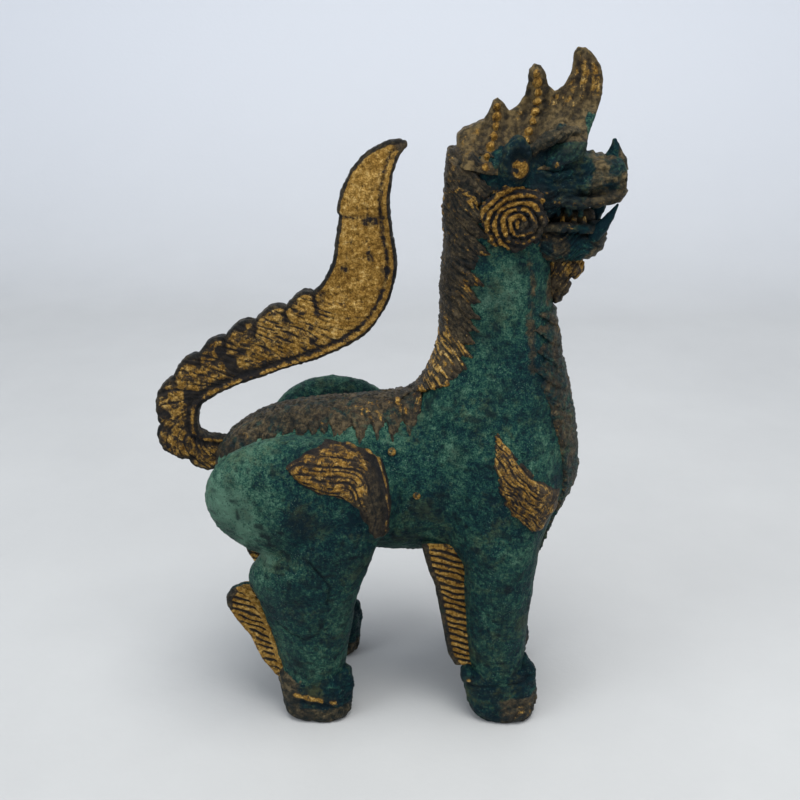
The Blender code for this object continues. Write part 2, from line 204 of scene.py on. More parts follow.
def surface_net(values, low, size):
    """Vertices and quads of the zero surface of a sampled field, one vertex for each mixed cell."""
    inside = values < 0
    cells = tuple(n - 1 for n in values.shape)
    count = np.zeros(cells, dtype=np.uint8)
    corners = [(i, j, k) for i in (0, 1) for j in (0, 1) for k in (0, 1)]
    for i, j, k in corners:
        count += inside[i:i + cells[0], j:j + cells[1], k:k + cells[2]]
    active = (count > 0) & (count < 8)
    base = np.argwhere(active)
    index = np.full(cells, -1, dtype=np.int32)
    index[active] = np.arange(len(base), dtype=np.int32)
    total = np.zeros((len(base), 3), dtype=np.float32)
    hits = np.zeros(len(base), dtype=np.float32)
    for a in corners:
        for axis in range(3):
            if a[axis]:
                continue
            b = list(a)
            b[axis] = 1
            va = values[tuple((base + a).T)]
            vb = values[tuple((base + b).T)]
            mixed = (va < 0) != (vb < 0)
            t = np.where(mixed, va / np.where(mixed, va - vb, 1), 0)
            point = np.broadcast_to(np.array(a, dtype=np.float32), total.shape).copy()
            point[:, axis] += t
            total += point * mixed[:, None]
            hits += mixed
    verts = (base + total / hits[:, None]) * size + low
    quads = []
    for axis in range(3):
        ahead = [slice(None)] * 3
        behind = [slice(None)] * 3
        ahead[axis] = slice(1, None)
        behind[axis] = slice(None, -1)
        first = inside[tuple(behind)]
        change = first != inside[tuple(ahead)]
        u, v = (axis + 1) % 3, (axis + 2) % 3
        trim = [slice(None)] * 3
        trim[u] = slice(1, -1)
        trim[v] = slice(1, -1)
        at = np.argwhere(change[tuple(trim)])
        at[:, u] += 1
        at[:, v] += 1
        ring = []
        for du, dv in ((-1, -1), (0, -1), (0, 0), (-1, 0)):
            cell = at.copy()
            cell[:, u] += du
            cell[:, v] += dv
            ring.append(index[tuple(cell.T)])
        ring = np.stack(ring, axis=1)
        flip = ~first[tuple(at.T)]
        ring[flip] = ring[flip][:, ::-1]
        quads.append(ring)
    return verts, np.concatenate(quads)


def main_island(verts, quads):
    """Keep the largest connected part."""
    label = np.arange(len(verts))
    a = quads.ravel()
    b = np.roll(quads, -1, axis=1).ravel()
    while True:
        low = np.minimum(label[a], label[b])
        fresh = label.copy()
        np.minimum.at(fresh, a, low)
        np.minimum.at(fresh, b, low)
        fresh = fresh[fresh]
        if np.array_equal(fresh, label):
            break
        label = fresh
    names, sizes = np.unique(label, return_counts=True)
    keep = label == names[np.argmax(sizes)]
    renumber = np.cumsum(keep) - 1
    quads = renumber[quads[keep[quads[:, 0]]]]
    return verts[keep], quads


def normals_of(verts, quads):
    cross = np.cross(verts[quads[:, 2]] - verts[quads[:, 0]], verts[quads[:, 3]] - verts[quads[:, 1]])
    out = np.zeros_like(verts)
    for k in range(4):
        np.add.at(out, quads[:, k], cross)
    return out / (np.linalg.norm(out, axis=1, keepdims=True) + 1e-9)


def to_object(name, verts, quads, paint, mat):
    mesh = bpy.data.meshes.new(name)
    mesh.vertices.add(len(verts))
    mesh.vertices.foreach_set("co", (verts / MM).astype(np.float32).ravel())
    mesh.loops.add(quads.size)
    mesh.loops.foreach_set("vertex_index", quads.astype(np.int32).ravel())
    mesh.polygons.add(len(quads))
    mesh.polygons.foreach_set("loop_start", np.arange(0, quads.size, 4, dtype=np.int32))
    mesh.update(calc_edges=True)
    mesh.validate()
    for key, value in paint.items():
        layer = mesh.attributes.new(key, "FLOAT", "POINT")
        layer.data.foreach_set("value", np.broadcast_to(value, len(verts)).astype(np.float32))
    mesh.shade_smooth()
    mesh.materials.append(mat)
    obj = bpy.data.objects.new(name, mesh)
    bpy.context.scene.collection.objects.link(obj)
    return obj


def mm_box(node):
    low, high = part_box(node)
    return np.array(low) * MM, np.array(high) * MM


def carve(name, field, size, mat, relief=None, paint=None, pad=4.0, mirror=False):
    """Mesh a field in its node's box, press relief into it, paint it and register it.

    A mirrored piece is meshed in the right node's box and copied to the left.
    """
    low, high = mm_box(name + "_right" if mirror else name)
    low = low - pad
    shape = np.ceil((high + pad - low) / size).astype(int) + 1
    x, y, z = (low[i] + size * np.arange(shape[i], dtype=np.float32) for i in range(3))
    values = np.broadcast_to(field(x[:, None, None], y[None, :, None], z[None, None, :]), shape)
    values = np.array(values, dtype=np.float32)
    for axis in range(3):
        edge = [slice(None)] * 3
        for side in (0, -1):
            edge[axis] = side
            values[tuple(edge)] = np.maximum(values[tuple(edge)], 0.5 * size)
    verts, quads = main_island(*surface_net(values, low, size))
    if relief is not None:
        normal = normals_of(verts, quads)
        verts = verts + normal * relief(verts, normal)[:, None]
    normal = normals_of(verts, quads)
    marks = {"gilt": 0.0, "hair": 0.0, "deep": 0.0, "pale": 0.0}
    if paint is not None:
        marks.update(paint(verts, normal))
    for word, side in (("_right", 1), ("_left", -1)) if mirror else (("", 1),):
        full = name + word
        faces = quads if side == 1 else quads[:, ::-1]
        obj = to_object(full + "_finish", verts * np.array([1, side, 1]), faces, marks, mat)
        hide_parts(full)
        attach(obj, "root")


# ------------------------ materials

class Graph:
    """Short hand for building a material's nodes."""

    def __init__(self, name):
        self.mat = bpy.data.materials.new(name)
        self.mat.use_nodes = True
        self.tree = self.mat.node_tree
        self.shader = self.tree.nodes["Principled BSDF"]
        self.place = self.add("ShaderNodeTexCoord").outputs["Object"]

    def add(self, kind, inputs=None, **values):
        node = self.tree.nodes.new(kind)
        for key, value in values.items():
            setattr(node, key, value)
        self.feed(node, inputs or {})
        return node

    def feed(self, node, inputs):
        for key, value in inputs.items():
            if isinstance(value, bpy.types.NodeSocket):
                self.tree.links.new(value, node.inputs[key])
            else:
                node.inputs[key].default_value = value

    def noise(self, scale, detail, rough, shift=(0, 0, 0), distort=0.0):
        place = self.add("ShaderNodeMapping", {"Vector": self.place, "Location": shift})
        inputs = {"Vector": place.outputs["Vector"], "Scale": scale, "Detail": detail,
                  "Roughness": rough, "Distortion": distort}
        return self.add("ShaderNodeTexNoise", inputs).outputs["Fac"]

    def cells(self, scale):
        return self.add("ShaderNodeTexVoronoi", {"Vector": self.place, "Scale": scale}).outputs["Distance"]

    def mark(self, name):
        return self.add("ShaderNodeAttribute", attribute_name=name).outputs["Fac"]

    def math(self, kind, a, b=0.0, c=0.0, clamp=False):
        return self.add("ShaderNodeMath", {0: a, 1: b, 2: c}, operation=kind, use_clamp=clamp).outputs[0]

    def total(self, *parts, base=0.0):
        """The base plus every value times its weight."""
        for value, weight in parts:
            base = self.math("MULTIPLY_ADD", value, weight, base)
        return base

    def ramp(self, fac, stops):
        node = self.add("ShaderNodeValToRGB", {"Fac": fac})
        elements = node.color_ramp.elements
        while len(elements) < len(stops):
            elements.new(0.5)
        for element, (at, colour) in zip(elements, stops):
            element.position = at
            element.color = (*colour, 1.0) if isinstance(colour, tuple) else (colour, colour, colour, 1.0)
        return node.outputs["Color"]

    def mix(self, fac, a, b):
        a, b = ((*c, 1.0) if isinstance(c, tuple) else c for c in (a, b))
        return self.add("ShaderNodeMix", {0: fac, 6: a, 7: b}, data_type="RGBA").outputs[2]

    def finish(self, colour, roughness, metallic, height, distance):
        bumps = self.add("ShaderNodeBump", {"Distance": distance, "Strength": 1.0, "Height": height})
        self.feed(self.shader, {"Base Color": colour, "Roughness": roughness, "Metallic": metallic,
                                "Normal": bumps.outputs["Normal"]})
        return self.mat


NAVY = (0.0025, 0.012, 0.019)
TEAL = (0.007, 0.034, 0.036)
GREEN = (0.022, 0.074, 0.050)
PALE = (0.092, 0.185, 0.128)
OLIVE = (0.060, 0.062, 0.024)
SOOT = (0.012, 0.009, 0.012)
UMBER = (0.040, 0.028, 0.020)
CHALK = (0.17, 0.27, 0.21)
# near black for the deep mark: painted shade in hollows, creases, joins and on undersides, and real dark pits
# and blots
GRIME_AND_SHADE = (0.005, 0.008, 0.012)
HAIR_BROWNS = ((0.010, 0.014, 0.014), (0.044, 0.036, 0.023), (0.135, 0.102, 0.056))
BURNISHED = ((0.066, 0.048, 0.020), (0.290, 0.200, 0.075))
LEAF_GOLDS = ((0.085, 0.040, 0.009), (0.250, 0.135, 0.026), (0.47, 0.285, 0.075), (0.80, 0.60, 0.26))
COOL_SHEEN = (0.5, 0.92, 0.92)
WARM_SHEEN = (1.0, 0.95, 0.85)
SPECULAR = 0.11             # level of the clear reflection over the patina
GRAIN_DEPTH = 0.0016        # metres of shading bump


def patina(name, hair=0.0, dark=0.0, sheen=COOL_SHEEN):
    """Verdigris over bronze; gold leaf where gilt is marked, brown hair where hair is marked."""
    g = Graph(name)
    broad = g.noise(38, 5, 0.62)
    middle = g.noise(170, 6, 0.7, shift=(0.3, 0.1, 0.7), distort=0.5)
    fine = g.noise(620, 5, 0.75, shift=(0.9, 0.4, 0.2))
    grain = g.noise(1900, 3, 0.7)
    blend = g.total((middle, 0.23), (broad, 0.17), (fine, 0.32), (grain, 0.28), (g.mark("pale"), 0.085),
                    base=-0.045 * dark)
    green = g.ramp(blend, [(0.445, NAVY), (0.488, TEAL), (0.528, GREEN), (0.600, PALE)])
    specks = g.ramp(g.cells(1050), [(0.10, 1.0), (0.24, 0.0)])
    where = g.ramp(g.noise(75, 4, 0.7, shift=(0.2, 0.8, 0.5)), [(0.48, 0.0), (0.60, 1.0)])
    green = g.mix(g.math("MULTIPLY", g.math("MULTIPLY", specks, where), 0.75), green, CHALK)
    pits = g.ramp(g.cells(760), [(0.12, 1.0), (0.30, 0.0)])
    green = g.mix(g.math("MULTIPLY", pits, 0.65), green, NAVY)
    stain = g.noise(60, 5, 0.65, shift=(0.6, 0.3, 0.9))
    olive = g.ramp(g.total((fine, 0.4), (stain, 0.6)), [(0.52, 0.0), (0.60, 1.0)])
    green = g.mix(g.math("MULTIPLY", olive, 0.40 + 0.25 * dark), green, OLIVE)

    wisps = g.noise(420, 4, 0.7, shift=(0.5, 0.5, 0.1))
    brown = g.ramp(g.total((grain, 0.25), (broad, 0.25), (wisps, 0.5)),
                   list(zip((0.42, 0.50, 0.58), HAIR_BROWNS)))
    burnish = g.math("MULTIPLY", g.mark("pale"), 0.7, clamp=True)
    brown = g.mix(burnish, brown, g.ramp(wisps, list(zip((0.42, 0.58), BURNISHED))))
    hair_mark = g.math("ADD", g.mark("hair"), hair, clamp=True)
    hair_mark = g.math("MULTIPLY_ADD", g.math("SUBTRACT", middle, 0.5), 1.6, hair_mark)
    colour = g.mix(g.ramp(hair_mark, [(0.40, 0.0), (0.60, 1.0)]), green, brown)

    gold = g.ramp(g.total((broad, 0.2), (grain, 0.3), (fine, 0.5)),
                  list(zip((0.40, 0.48, 0.55, 0.64), LEAF_GOLDS)))
    leaf = g.math("ADD", g.mark("gilt"), clamp=True)
    chips = g.noise(330, 8, 0.75, shift=(0.1, 0.9, 0.3), distort=0.6)
    flaked = g.math("MULTIPLY_ADD", g.math("SUBTRACT", chips, 0.5), 2.2, leaf)
    # gold leaf is kept out where the deep mark lies, so the painted shade in hollows stays dark
    flaked = g.math("SUBTRACT", flaked, g.math("MULTIPLY", g.mark("deep"), 0.6))
    leaf_mask = g.ramp(flaked, [(0.40, 0.0), (0.62, 1.0)])
    under = g.mix(g.math("MULTIPLY", leaf, 1.3, clamp=True), colour, g.mix(wisps, SOOT, UMBER))
    colour = g.mix(leaf_mask, under, gold)

    # darkening by the deep mark: painted shade in hollows, creases, joins and on undersides, with real dark
    # pits and blots mixed in
    grime_and_shade = g.math("MULTIPLY", g.mark("deep"), 0.86, clamp=True)
    colour = g.mix(grime_and_shade, colour, GRIME_AND_SHADE)
    rough = g.total((fine, 0.50), base=0.22)
    metal = g.total((leaf_mask, 0.40), base=0.03)
    height = g.total((grain, 0.30), (fine, 0.55), (g.cells(420), 0.30))
    g.feed(g.shader, {"Specular IOR Level": SPECULAR, "Specular Tint": (*sheen, 1.0)})
    return g.finish(colour, rough, metal, height, GRAIN_DEPTH)


def plain(name, low, high, roughness, metallic, scale):
    """A simple cast or fired surface for pieces that sit inside."""
    g = Graph(name)
    fine = g.noise(scale, 6, 0.7)
    colour = g.ramp(fine, [(0.35, low), (0.65, high)])
    rough = g.total((fine, 0.3), base=roughness - 0.15)
    return g.finish(colour, rough, metallic, fine, 0.0002)


BRONZE = patina("verdigris_bronze_look")
DARK = patina("dark_bronze_look", dark=1.0)
HAIR = patina("brown_bronze_look", hair=0.75, sheen=WARM_SHEEN)
GILT = patina("worn_gilt_look", sheen=WARM_SHEEN)
BRASS = plain("plain_brass_look", (0.25, 0.16, 0.06), (0.45, 0.32, 0.13), 0.4, 0.9, 900)
CLAY = plain("fired_clay_look", (0.20, 0.12, 0.08), (0.36, 0.25, 0.18), 0.9, 0.0, 500)
for word in SIDES:
    for node in ("leg_dowel_front_", "leg_dowel_rear_"):
        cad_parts[node + word].material_slots[0].material = BRASS
for node, look in (("tail_tenon", BRASS), ("neck_dowel", BRASS), ("clay_core", CLAY)):
    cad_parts[node].material_slots[0].material = look


# ------------------------ body, limbs and paws

FIN_FRONT = [(17, 78), (19.3, 67), (22, 60), (25, 44), (28, 28), (31, 23), (40, 23), (40, 78)]
FIN_REAR = [(-37.4, 14.4), (-42.0, 18), (-47.4, 25.5), (-51.4, 36), (-56.8, 44), (-59.8, 49.5),
            (-60.2, 53.5), (-58.0, 57), (-53, 59.4), (-42, 60), (-34, 40)]
HAUNCH_FLAME = [(-34, 115), (-26, 119.5), (-17, 122.5), (-9, 123.5), (-3, 121.5), (1.5, 115), (5, 107),
                (7, 95), (4, 83), (-1, 84), (-4, 92), (-6, 99), (-12, 103), (-20, 105.5), (-27, 109)]
SHOULDER_FLAME = [(43.5, 130), (48, 123), (52.5, 117), (58, 111), (64, 106.5), (69.5, 101.5),
                  (69, 94.5), (63, 88), (57.5, 89), (50.5, 96), (45.5, 106), (43, 117)]
TRUNK = [(-66, 97, 104.5, 6), (-63, 87, 110, 13), (-56, 79, 116.6, 20), (-44, 72, 123.2, 23.5),
         (-28, 69.2, 126.8, 24.5), (-10, 67.3, 128.7, 25), (8, 66.0, 130.8, 25), (24, 67.2, 131.4, 25),
         (40, 73, 127, 20)]
CHEST = [(66, 32, 57, 0, 9), (69, 22, 61, 0, 15), (76, 14, 66, 0, 22), (83, 12, 68.8, 0, 25),
         (90, 10, 71.5, 0, 27), (97, 9.5, 75.3, 0, 28), (105, 9, 76.5, 0, 29), (118, 11, 75.2, 0, 29),
         (130, 14, 73, 0, 26.5), (141, 19, 70.4, 0, 23.5), (152, 23.5, 67.7, 0, 20.5),
         (165, 24.4, 65.3, 0, 18.5), (180, 24.5, 64, 0, 17.5), (194, 26, 63.5, 0, 17),
         (206, 27, 62.5, 0, 16.5)]
FORELEG = [(6, 39, 56.5, 21, 7.6), (16, 37.5, 57.4, 21, 8.2), (23, 37, 58.2, 21, 8.8),
           (30, 36, 58.8, 21, 9.6), (41, 35, 59.3, 21.2, 10.6), (55, 34, 60.1, 21.5, 11.3),
           (68, 33, 61.5, 21.5, 12.2), (80, 31, 63, 21, 13.2), (95, 29, 66, 19.5, 14),
           (110, 32, 65, 18.5, 13), (122, 38, 59, 17, 9), (128, 44, 53, 16, 4)]
SHANK = [(6, -36, -17, 22.5, 7.8), (14, -38, -15.5, 22.5, 8.4), (21, -39, -14, 22.5, 9),
         (28, -40.3, -12.8, 22.6, 9.8), (40, -43, -11, 23, 11), (52, -46.5, -9.2, 23.8, 12),
         (61, -50, -6.5, 24.3, 12.6), (67, -50, -4.2, 24.5, 12.7), (74, -45, -1.6, 24.5, 12.5),
         (80, -40, 0.5, 24.5, 12.3), (90, -37, 2.5, 24, 12)]
PAW_FRONT = [(0, 40, 62, 21, 9.2), (4, 37, 63.2, 21, 9.6), (9, 35.5, 63.2, 21, 9.5),
             (14, 34.3, 62.6, 21, 9.4), (19, 34.6, 60.6, 21, 8.8), (24, 36.5, 58.6, 21, 7.8)]
PAW_REAR = [(0, -38, -12.2, 22.5, 9.8), (4, -39.2, -11.4, 22.5, 10.0), (9, -39.6, -11.2, 22.5, 9.8),
            (14, -39.6, -11.2, 22.5, 9.3), (19, -39.2, -12.2, 22.5, 8.8), (23, -37.5, -14.5, 22.5, 7.8)]
# centre and radii of the right and the left haunch
HAUNCHES = (((-29.3, -24.0, 97.7), (36.2, 13.8, 25.3)), ((-19.8, 25.0, 101.0), (31.0, 12.8, 28.6)))


def trunk(x, y, z):
    return smin(loft_x(TRUNK, x, y, z, k=6), loft_z(CHEST, x, y, z, k=5), 6)


def hind(x, y, z):
    """Both hind legs: a shank with a crease under the haunch, the left haunch carried higher."""
    haunches = np.minimum(*(ball(*haunch, x, y, z) for haunch in HAUNCHES))
    return smin(loft_z(SHANK, x, np.abs(y), z, k=3), haunches, 2.2)


def fore(x, y, z):
    return loft_z(FORELEG, x, np.abs(y), z, k=5)


def casting(x, y, z):
    """Trunk, neck and the four limbs, blended into one skin."""
    return smin(smin(trunk(x, y, z), hind(x, y, z), 4.0), fore(x, y, z), 8)


def worn(v, amount=0.35):
    """Slow unevenness of a hand-finished casting."""
    x, y, z = v.T
    return amount * (noise(x, y, z, 11) + 0.5 * noise(x, y, z, 4.5) + 0.35 * noise(x, y, z, 1.9) - 0.92)


def crumble(v, amount, size=2.4):
    """Lumpy, half-chased surface with sharp little valleys."""
    x, y, z = v.T
    return amount * (np.abs(2 * noise(x, y, z, size) - 1) * 1.6 + 0.6 * noise(x, y, z, size / 2) - 0.75)


def hewn(slow, lumps=0.0, size=2.4):
    """Relief of a plain surface: slow unevenness with lumps of a size."""
    return lambda v, n: worn(v, slow) + crumble(v, lumps, size)


def strokes(across, along, side, fine, length):
    """Irregular parallel chisel strokes, from 0 in the cuts to 1 on the crests."""
    drift = 2.0 * noise(across, along, side, length) + 0.7 * noise(across, along, side + 31, length / 2.5)
    wave = np.abs(2 * ((across / fine + drift) % 1.0) - 1)
    return unit(0.25 + 0.75 * wave - 0.35 * noise(across, along, side + 70, 2.2) + 0.12)


def combed(across, along, thin, broad, apart=50):
    """Thin strokes over broad ones, each given by its width and length."""
    side = 0 * across
    return 0.6 * strokes(across, along, side, *thin) + 0.4 * strokes(across, along, side + apart, *broad)


KNEE = [(-25, 77), (-20.5, 71), (-17.5, 66), (-19, 58)]
HOCK = [(-39, 48), (-34, 43.5), (-28, 41.5), (-23, 44), (-20, 50)]
CREASE = [(-49, 74), (-42, 72.5), (-34, 73.5)]
# places in the side plane where the patina is paler or darker: x, z, radius, strength
PALE_SPOTS = [(-58, 100, 13, 1.35), (-50, 86, 9, 1.0), (-42, 76, 3.5, 1.3), (-30, 93, 6, -0.9),
              (-7, 92, 6, -0.9), (-30, 60, 10, -0.3), (-24, 30, 7, 0.5), (44, 178, 12, 0.7),
              (58, 150, 9, -0.3), (20, 92, 14, -0.35), (36, 130, 10, 0.2), (45, 60, 14, 0.1),
              (50, 40, 9, -0.3), (-44, 118, 9, 0.5), (28, 118, 5, 0.8)]


def knee_lines(v):
    """Chased lines on the rear leg: the stifle fold, the hock arc and the crease under the haunch."""
    x, y, z = v.T
    outer = step(27, 31, np.abs(y))
    return outer * (0.6 * bump(near_line(KNEE, x, z), 0.6) + 0.5 * bump(near_line(HOCK, x, z), 0.6)
                    + 0.4 * bump(near_line(CREASE, x, z), 0.8))


def bronze_marks(v, n):
    x, y, z = v.T
    pale = np.zeros_like(x)
    for cx, cz, r, weight in PALE_SPOTS:
        pale += weight * np.exp(-((x - cx) ** 2 + (z - cz) ** 2) / (r * r))
    pits = step(0.66, 0.82, noise(x + 40, y, z, 2.3))
    blots = step(0.55, 0.80, noise(x, y + 20, z, 6.0)) * 0.35
    # painted shade: surfaces that face downwards are darkened
    under = step(0.35, -0.7, n[:, 2]) * 0.25
    line = x - 57 + 0.04 * (z - 165) + 2 * noise(x, y, z, 9)
    throat = 0.62 * bump(line, 2.6) * step(140, 150, z) * step(196, 185, z)
    by_beard = 0.55 * step(58, 63, x) * step(166, 172, z) * step(196, 190, z)
    # painted light: surfaces that face upwards are made paler, over the paler and darker patina spots
    return {"pale": pale + 0.30 * step(0.3, 0.9, n[:, 2]), "hair": np.maximum(throat, by_beard),
            "deep": unit(0.6 * pits + under + blots)}


def hind_marks(v, n):
    marks = bronze_marks(v, n)
    # painted shade: the chased lines cut by knee_lines are darkened as well
    marks["deep"] = unit(marks["deep"] + 1.1 * knee_lines(v))
    return marks


def body_skin(x, y, z):
    own = trunk(x, y, z)
    return smax(casting(x, y, z) + 0.15, own - np.minimum(hind(x, y, z), fore(x, y, z)) - 3.0, 0.6)


def halo(v):
    """A chased contour just outside the front rim of each flame."""
    x, y, z = v.T
    haunch = bump(outline(HAUNCH_FLAME, x, z) - 2.0, 0.55) * step(-20, -8, x)
    shoulder = bump(outline(SHOULDER_FLAME, x, z) - 1.8, 0.5) * step(60, 54, x)
    return 0.45 * step(18, 22, np.abs(y)) * (haunch + 0.6 * shoulder)


def skin_relief(v, n):
    return worn(v, 0.60) + crumble(v, 0.24, 1.9) - halo(v)


def limb_skin(own):
    """The part of the casting that belongs to a limb rather than to the trunk."""
    return lambda x, y, z: np.maximum(casting(x, y, z), own(x, y, z) - trunk(x, y, z))


carve("body_casting", body_skin, 0.8, BRONZE, relief=skin_relief, paint=bronze_marks)
for word in SIDES:
    carve("hindleg_" + word, limb_skin(hind), 0.6, BRONZE,
          relief=lambda v, n: skin_relief(v, n) - knee_lines(v), paint=hind_marks)
carve("foreleg", limb_skin(fore), 0.6, BRONZE, relief=skin_relief, paint=bronze_marks,
      mirror=True)

STRIPE = [(-33, 13.2), (-17.5, 9.6)]
TOE = 5.4           # width of a toe
PAW_MID = 21        # distance of a paw's middle toe from the statue's middle


def paw_field(place, table, x, y, z):
    """A low block under the leg, with a knuckle, an instep ridge and a raised heel."""
    mid = -table[0][3]
    f = loft_z([(r[0], r[1], r[2], mid, r[4]) for r in table], x, y, z, power=2.5, k=2.5)
    if place == "front":
        knuckle = [(57.2, mid, 27.5), (60.0, mid, 20), (60.6, mid, 8)]
        f = smin(f, cord(knuckle, (2.6, 3.2, 3.6), x, y, z, 2), 1.2)
        f = smin(f, ball((35.8, mid - 3.5, 20.5), (3.2, 4.2, 4.2), x, y, z), 1.0)
    else:
        f = smin(f, cord([(-13.8, mid - 2, 20.5), (-12.8, mid - 3, 14)], (3.2, 2.9), x, y, z, 2), 1.0)
        f = smin(f, ball((-37.0, mid - 1, 17.0), (3.4, 5.0, 7.0), x, y, z), 2.0)
    return smax(f, 0.05 - z, 0.4)


def paw_seam(place, x, z):
    """Distance from the line chased round a paw."""
    return z - 17.2 - 0.12 * (x - 40) if place == "front" else near_line(STRIPE, x, z + 2.2)


def paw_relief(place, v, n):
    x, y, z = v.T
    toes = step(0.2, 0.7, n[:, 0]) * step(11, 7, z) * bump((np.abs(y) - PAW_MID) % TOE - TOE / 2, 0.6)
    scales = strokes(z, y, x, 2.2, 6) * step(0.1, 0.6, n[:, 0])
    seam = bump(paw_seam(place, x, z), 0.7)
    return worn(v, 0.6) + crumble(v, 0.42, 2.8) + 0.5 * (scales - 0.5) - 0.6 * seam - 0.5 * toes


def paw_marks(place, v, n):
    x, y, z = v.T
    rough = noise(x, y, z, 2.6)
    if place == "front":
        gilt = 0.34 * step(48, 54, x) * step(14, 10, z) + 0.6 * bump(np.hypot(x - 36, z - 19), 2.4)
        hair = 0.62 * step(44, 52, x) * step(15, 11, z)
    else:
        gilt = 0.75 * bump(near_line(STRIPE, x, z), 1.5) + 0.35 * bump(np.hypot(x + 30, z - 4), 3.5)
        hair = 0.8 * np.maximum(step(-28, -34, x), step(9, 6, z))
    seam = bump(paw_seam(place, x, z), 0.9)
    # painted shade in the chased seam and on downward faces; the patches from rough are real dark patina
    deep = 0.8 * seam + 0.6 * step(0.50, 0.25, rough) + 0.4 * step(0.3, -0.6, n[:, 2])
    return {"gilt": gilt * step(0.2, 0.5, rough), "hair": hair, "deep": 0.85 * unit(deep)}


for place, table in (("front", PAW_FRONT), ("rear", PAW_REAR)):
    carve("paw_" + place, lambda x, y, z: paw_field(place, table, x, y, z), 0.42,
          DARK, relief=lambda v, n: paw_relief(place, v, n),
          paint=lambda v, n: paw_marks(place, v, n), mirror=True, pad=5)


# ------------------------ fins and flames

FIN_REAR_RIM = [(-52.5, 57.5), (-47.5, 51), (-44, 42), (-41.5, 33), (-39, 22)]
# outline, rib pitch, rib slope, and the stretch of the outline that is left ungilt
FINS = {"front": (FIN_FRONT, 2.78, 0.27, FIN_FRONT[:6]), "rear": (FIN_REAR, 2.75, 0.30, FIN_REAR[5:8])}


def fin_parts(place, x, z):
    """Edge distance, rib wave, ribbed part and half thickness of a leg fin."""
    points, pitch, slope, _ = FINS[place]
    edge = outline(points, x, z)
    phase = (z + slope * x) / pitch + 0.5 * noise(x, 0, z, 5)
    ribs = (0.5 + 0.5 * np.sin(2 * math.pi * phase)) * (0.75 + 0.5 * noise(x, 0, z, 3) - 0.1)
    inner = step(1.6, 2.8, -edge)
    rim = 0
    if place == "rear":
        gap = near_line(FIN_REAR_RIM, x, z)
        rim = bump(gap, 1.0)
        inner = inner * step(1.0, 2.0, gap)
    half = 1.75 + 0.45 * (1 - inner) * step(0.2, 0.8, -edge) + inner * (1.0 * ribs - 0.2) + 0.8 * rim
    return edge, ribs, inner, half, rim


def fin_field(place, mid, x, y, z):
    edge, _, _, half, _ = fin_parts(place, x, z)
    return smax(edge, np.abs(y - mid) - half, 0.8)


def fin_marks(place, mid, v, n):
    x, y, z = v.T
    _, ribs, inner, _, rim = fin_parts(place, x, z)
    face = step(0.6, 1.2, np.abs(y - mid))
    border = step(2.8, 1.2, near_line(FINS[place][3], x, z))
    # painted shade in the troughs between the ribs; the ungilt border is darker patina
    deep = face * inner * step(0.45, 0.05, ribs) * 0.55 + 0.45 * border
    return {"gilt": face * (0.50 + 0.34 * ribs + 0.5 * rim) * (1 - border), "hair": 0.7 * face,
            "deep": unit(deep)}


for place in ("front", "rear"):
    mid = sum(corner[1] for corner in mm_box("fin_%s_right" % place)) / 2
    carve("fin_" + place, lambda x, y, z: fin_field(place, mid, x, y, z), 0.33, GILT,
          pad=2.0, relief=hewn(0.35, 0.12, 1.4),
          paint=lambda v, n: fin_marks(place, mid, v, n), mirror=True)


SUNK = 1.5          # depth to which a laid-on layer reaches below the skin
FLANK = 14          # the flames lie only this far from the middle and beyond


def shell(skin, proud, region, k=0.8):
    """A layer that follows the skin, proud of it inside the region and sunk into it."""
    return smax(smax(skin - proud, -(skin + SUNK), 0.4), region, k)


def flame(points, ragged, size, grow, fade, x, y, z):
    """A flame laid on the flank, its border ragged, its surface sinking over the last millimetres."""
    region = outline(points, x, z) + ragged * noise(x, 0, z, size) - grow
    return shell(casting(x, y, z), 0.1 + 1.5 * step(0, fade, -region), np.maximum(region, FLANK - np.abs(y)))


HAUNCH_RIM = [(-6, 121.0), (0.5, 115.5), (3.6, 107), (4.6, 97), (3.4, 88)]


def haunch_hair(x, z):
    """Hair of the haunch flame, combed in arcs from its rear tip round to its lower front end."""
    turn = np.arctan2(z - 94, x + 22)
    radius = np.hypot(x + 22, z - 94)
    wobble = 2.4 * noise(x, 0, z, 7)
    return combed(radius + wobble, turn * 22, (1.5, 9), (3.8, 16))


def haunch_flame_relief(v, n):
    x, y, z = v.T
    rim = near_line(HAUNCH_RIM, x, z)
    inside = step(0, 2.0, -outline(HAUNCH_FLAME, x, z))
    plain_band = step(-4, 1, x)
    combing = 1.1 * (haunch_hair(x, z) - 0.5) * inside * (1 - 0.7 * plain_band)
    return worn(v, 0.3) + combing + 0.8 * bump(rim, 0.7) - 0.5 * bump(rim - 1.6, 0.8)


def haunch_flame_marks(v, n):
    x, y, z = v.T
    hair = haunch_hair(x, z)
    rim = near_line(HAUNCH_RIM, x, z)
    band = step(-5, 0, x) * step(118, 112, z)
    under = step(-12, -20, x) * 0.2 + step(104, 99, z - 0.35 * (x + 12)) * 0.25
    gilt = 0.54 - 0.26 * band - under * 0.7 + 0.7 * bump(rim, 0.7) + 0.14 * step(-8, -26, x)
    # painted shade in the cuts between hair strokes, in the groove behind the rim and along the flame's
    # border; the plain band is darkened too
    deep = (0.85 * step(0.55, 0.25, hair) + 0.45 * band + 0.8 * bump(rim - 1.6, 0.8)
            + 0.5 * step(1.2, 0, -outline(HAUNCH_FLAME, x, z)))
    return {"gilt": unit(gilt), "hair": 0.9, "deep": 0.85 * unit(deep)}


def shoulder_hair(x, z):
    return combed(z + 0.95 * x + 1.8 * noise(x, 0, z, 6), x - z, (1.9, 9), (4.4, 15))


def shoulder_relief(v, n):
    x, y, z = v.T
    smooth_end = step(58, 64, x)
    return worn(v, 0.3) + 1.15 * (shoulder_hair(x, z) - 0.5) * (1 - smooth_end)


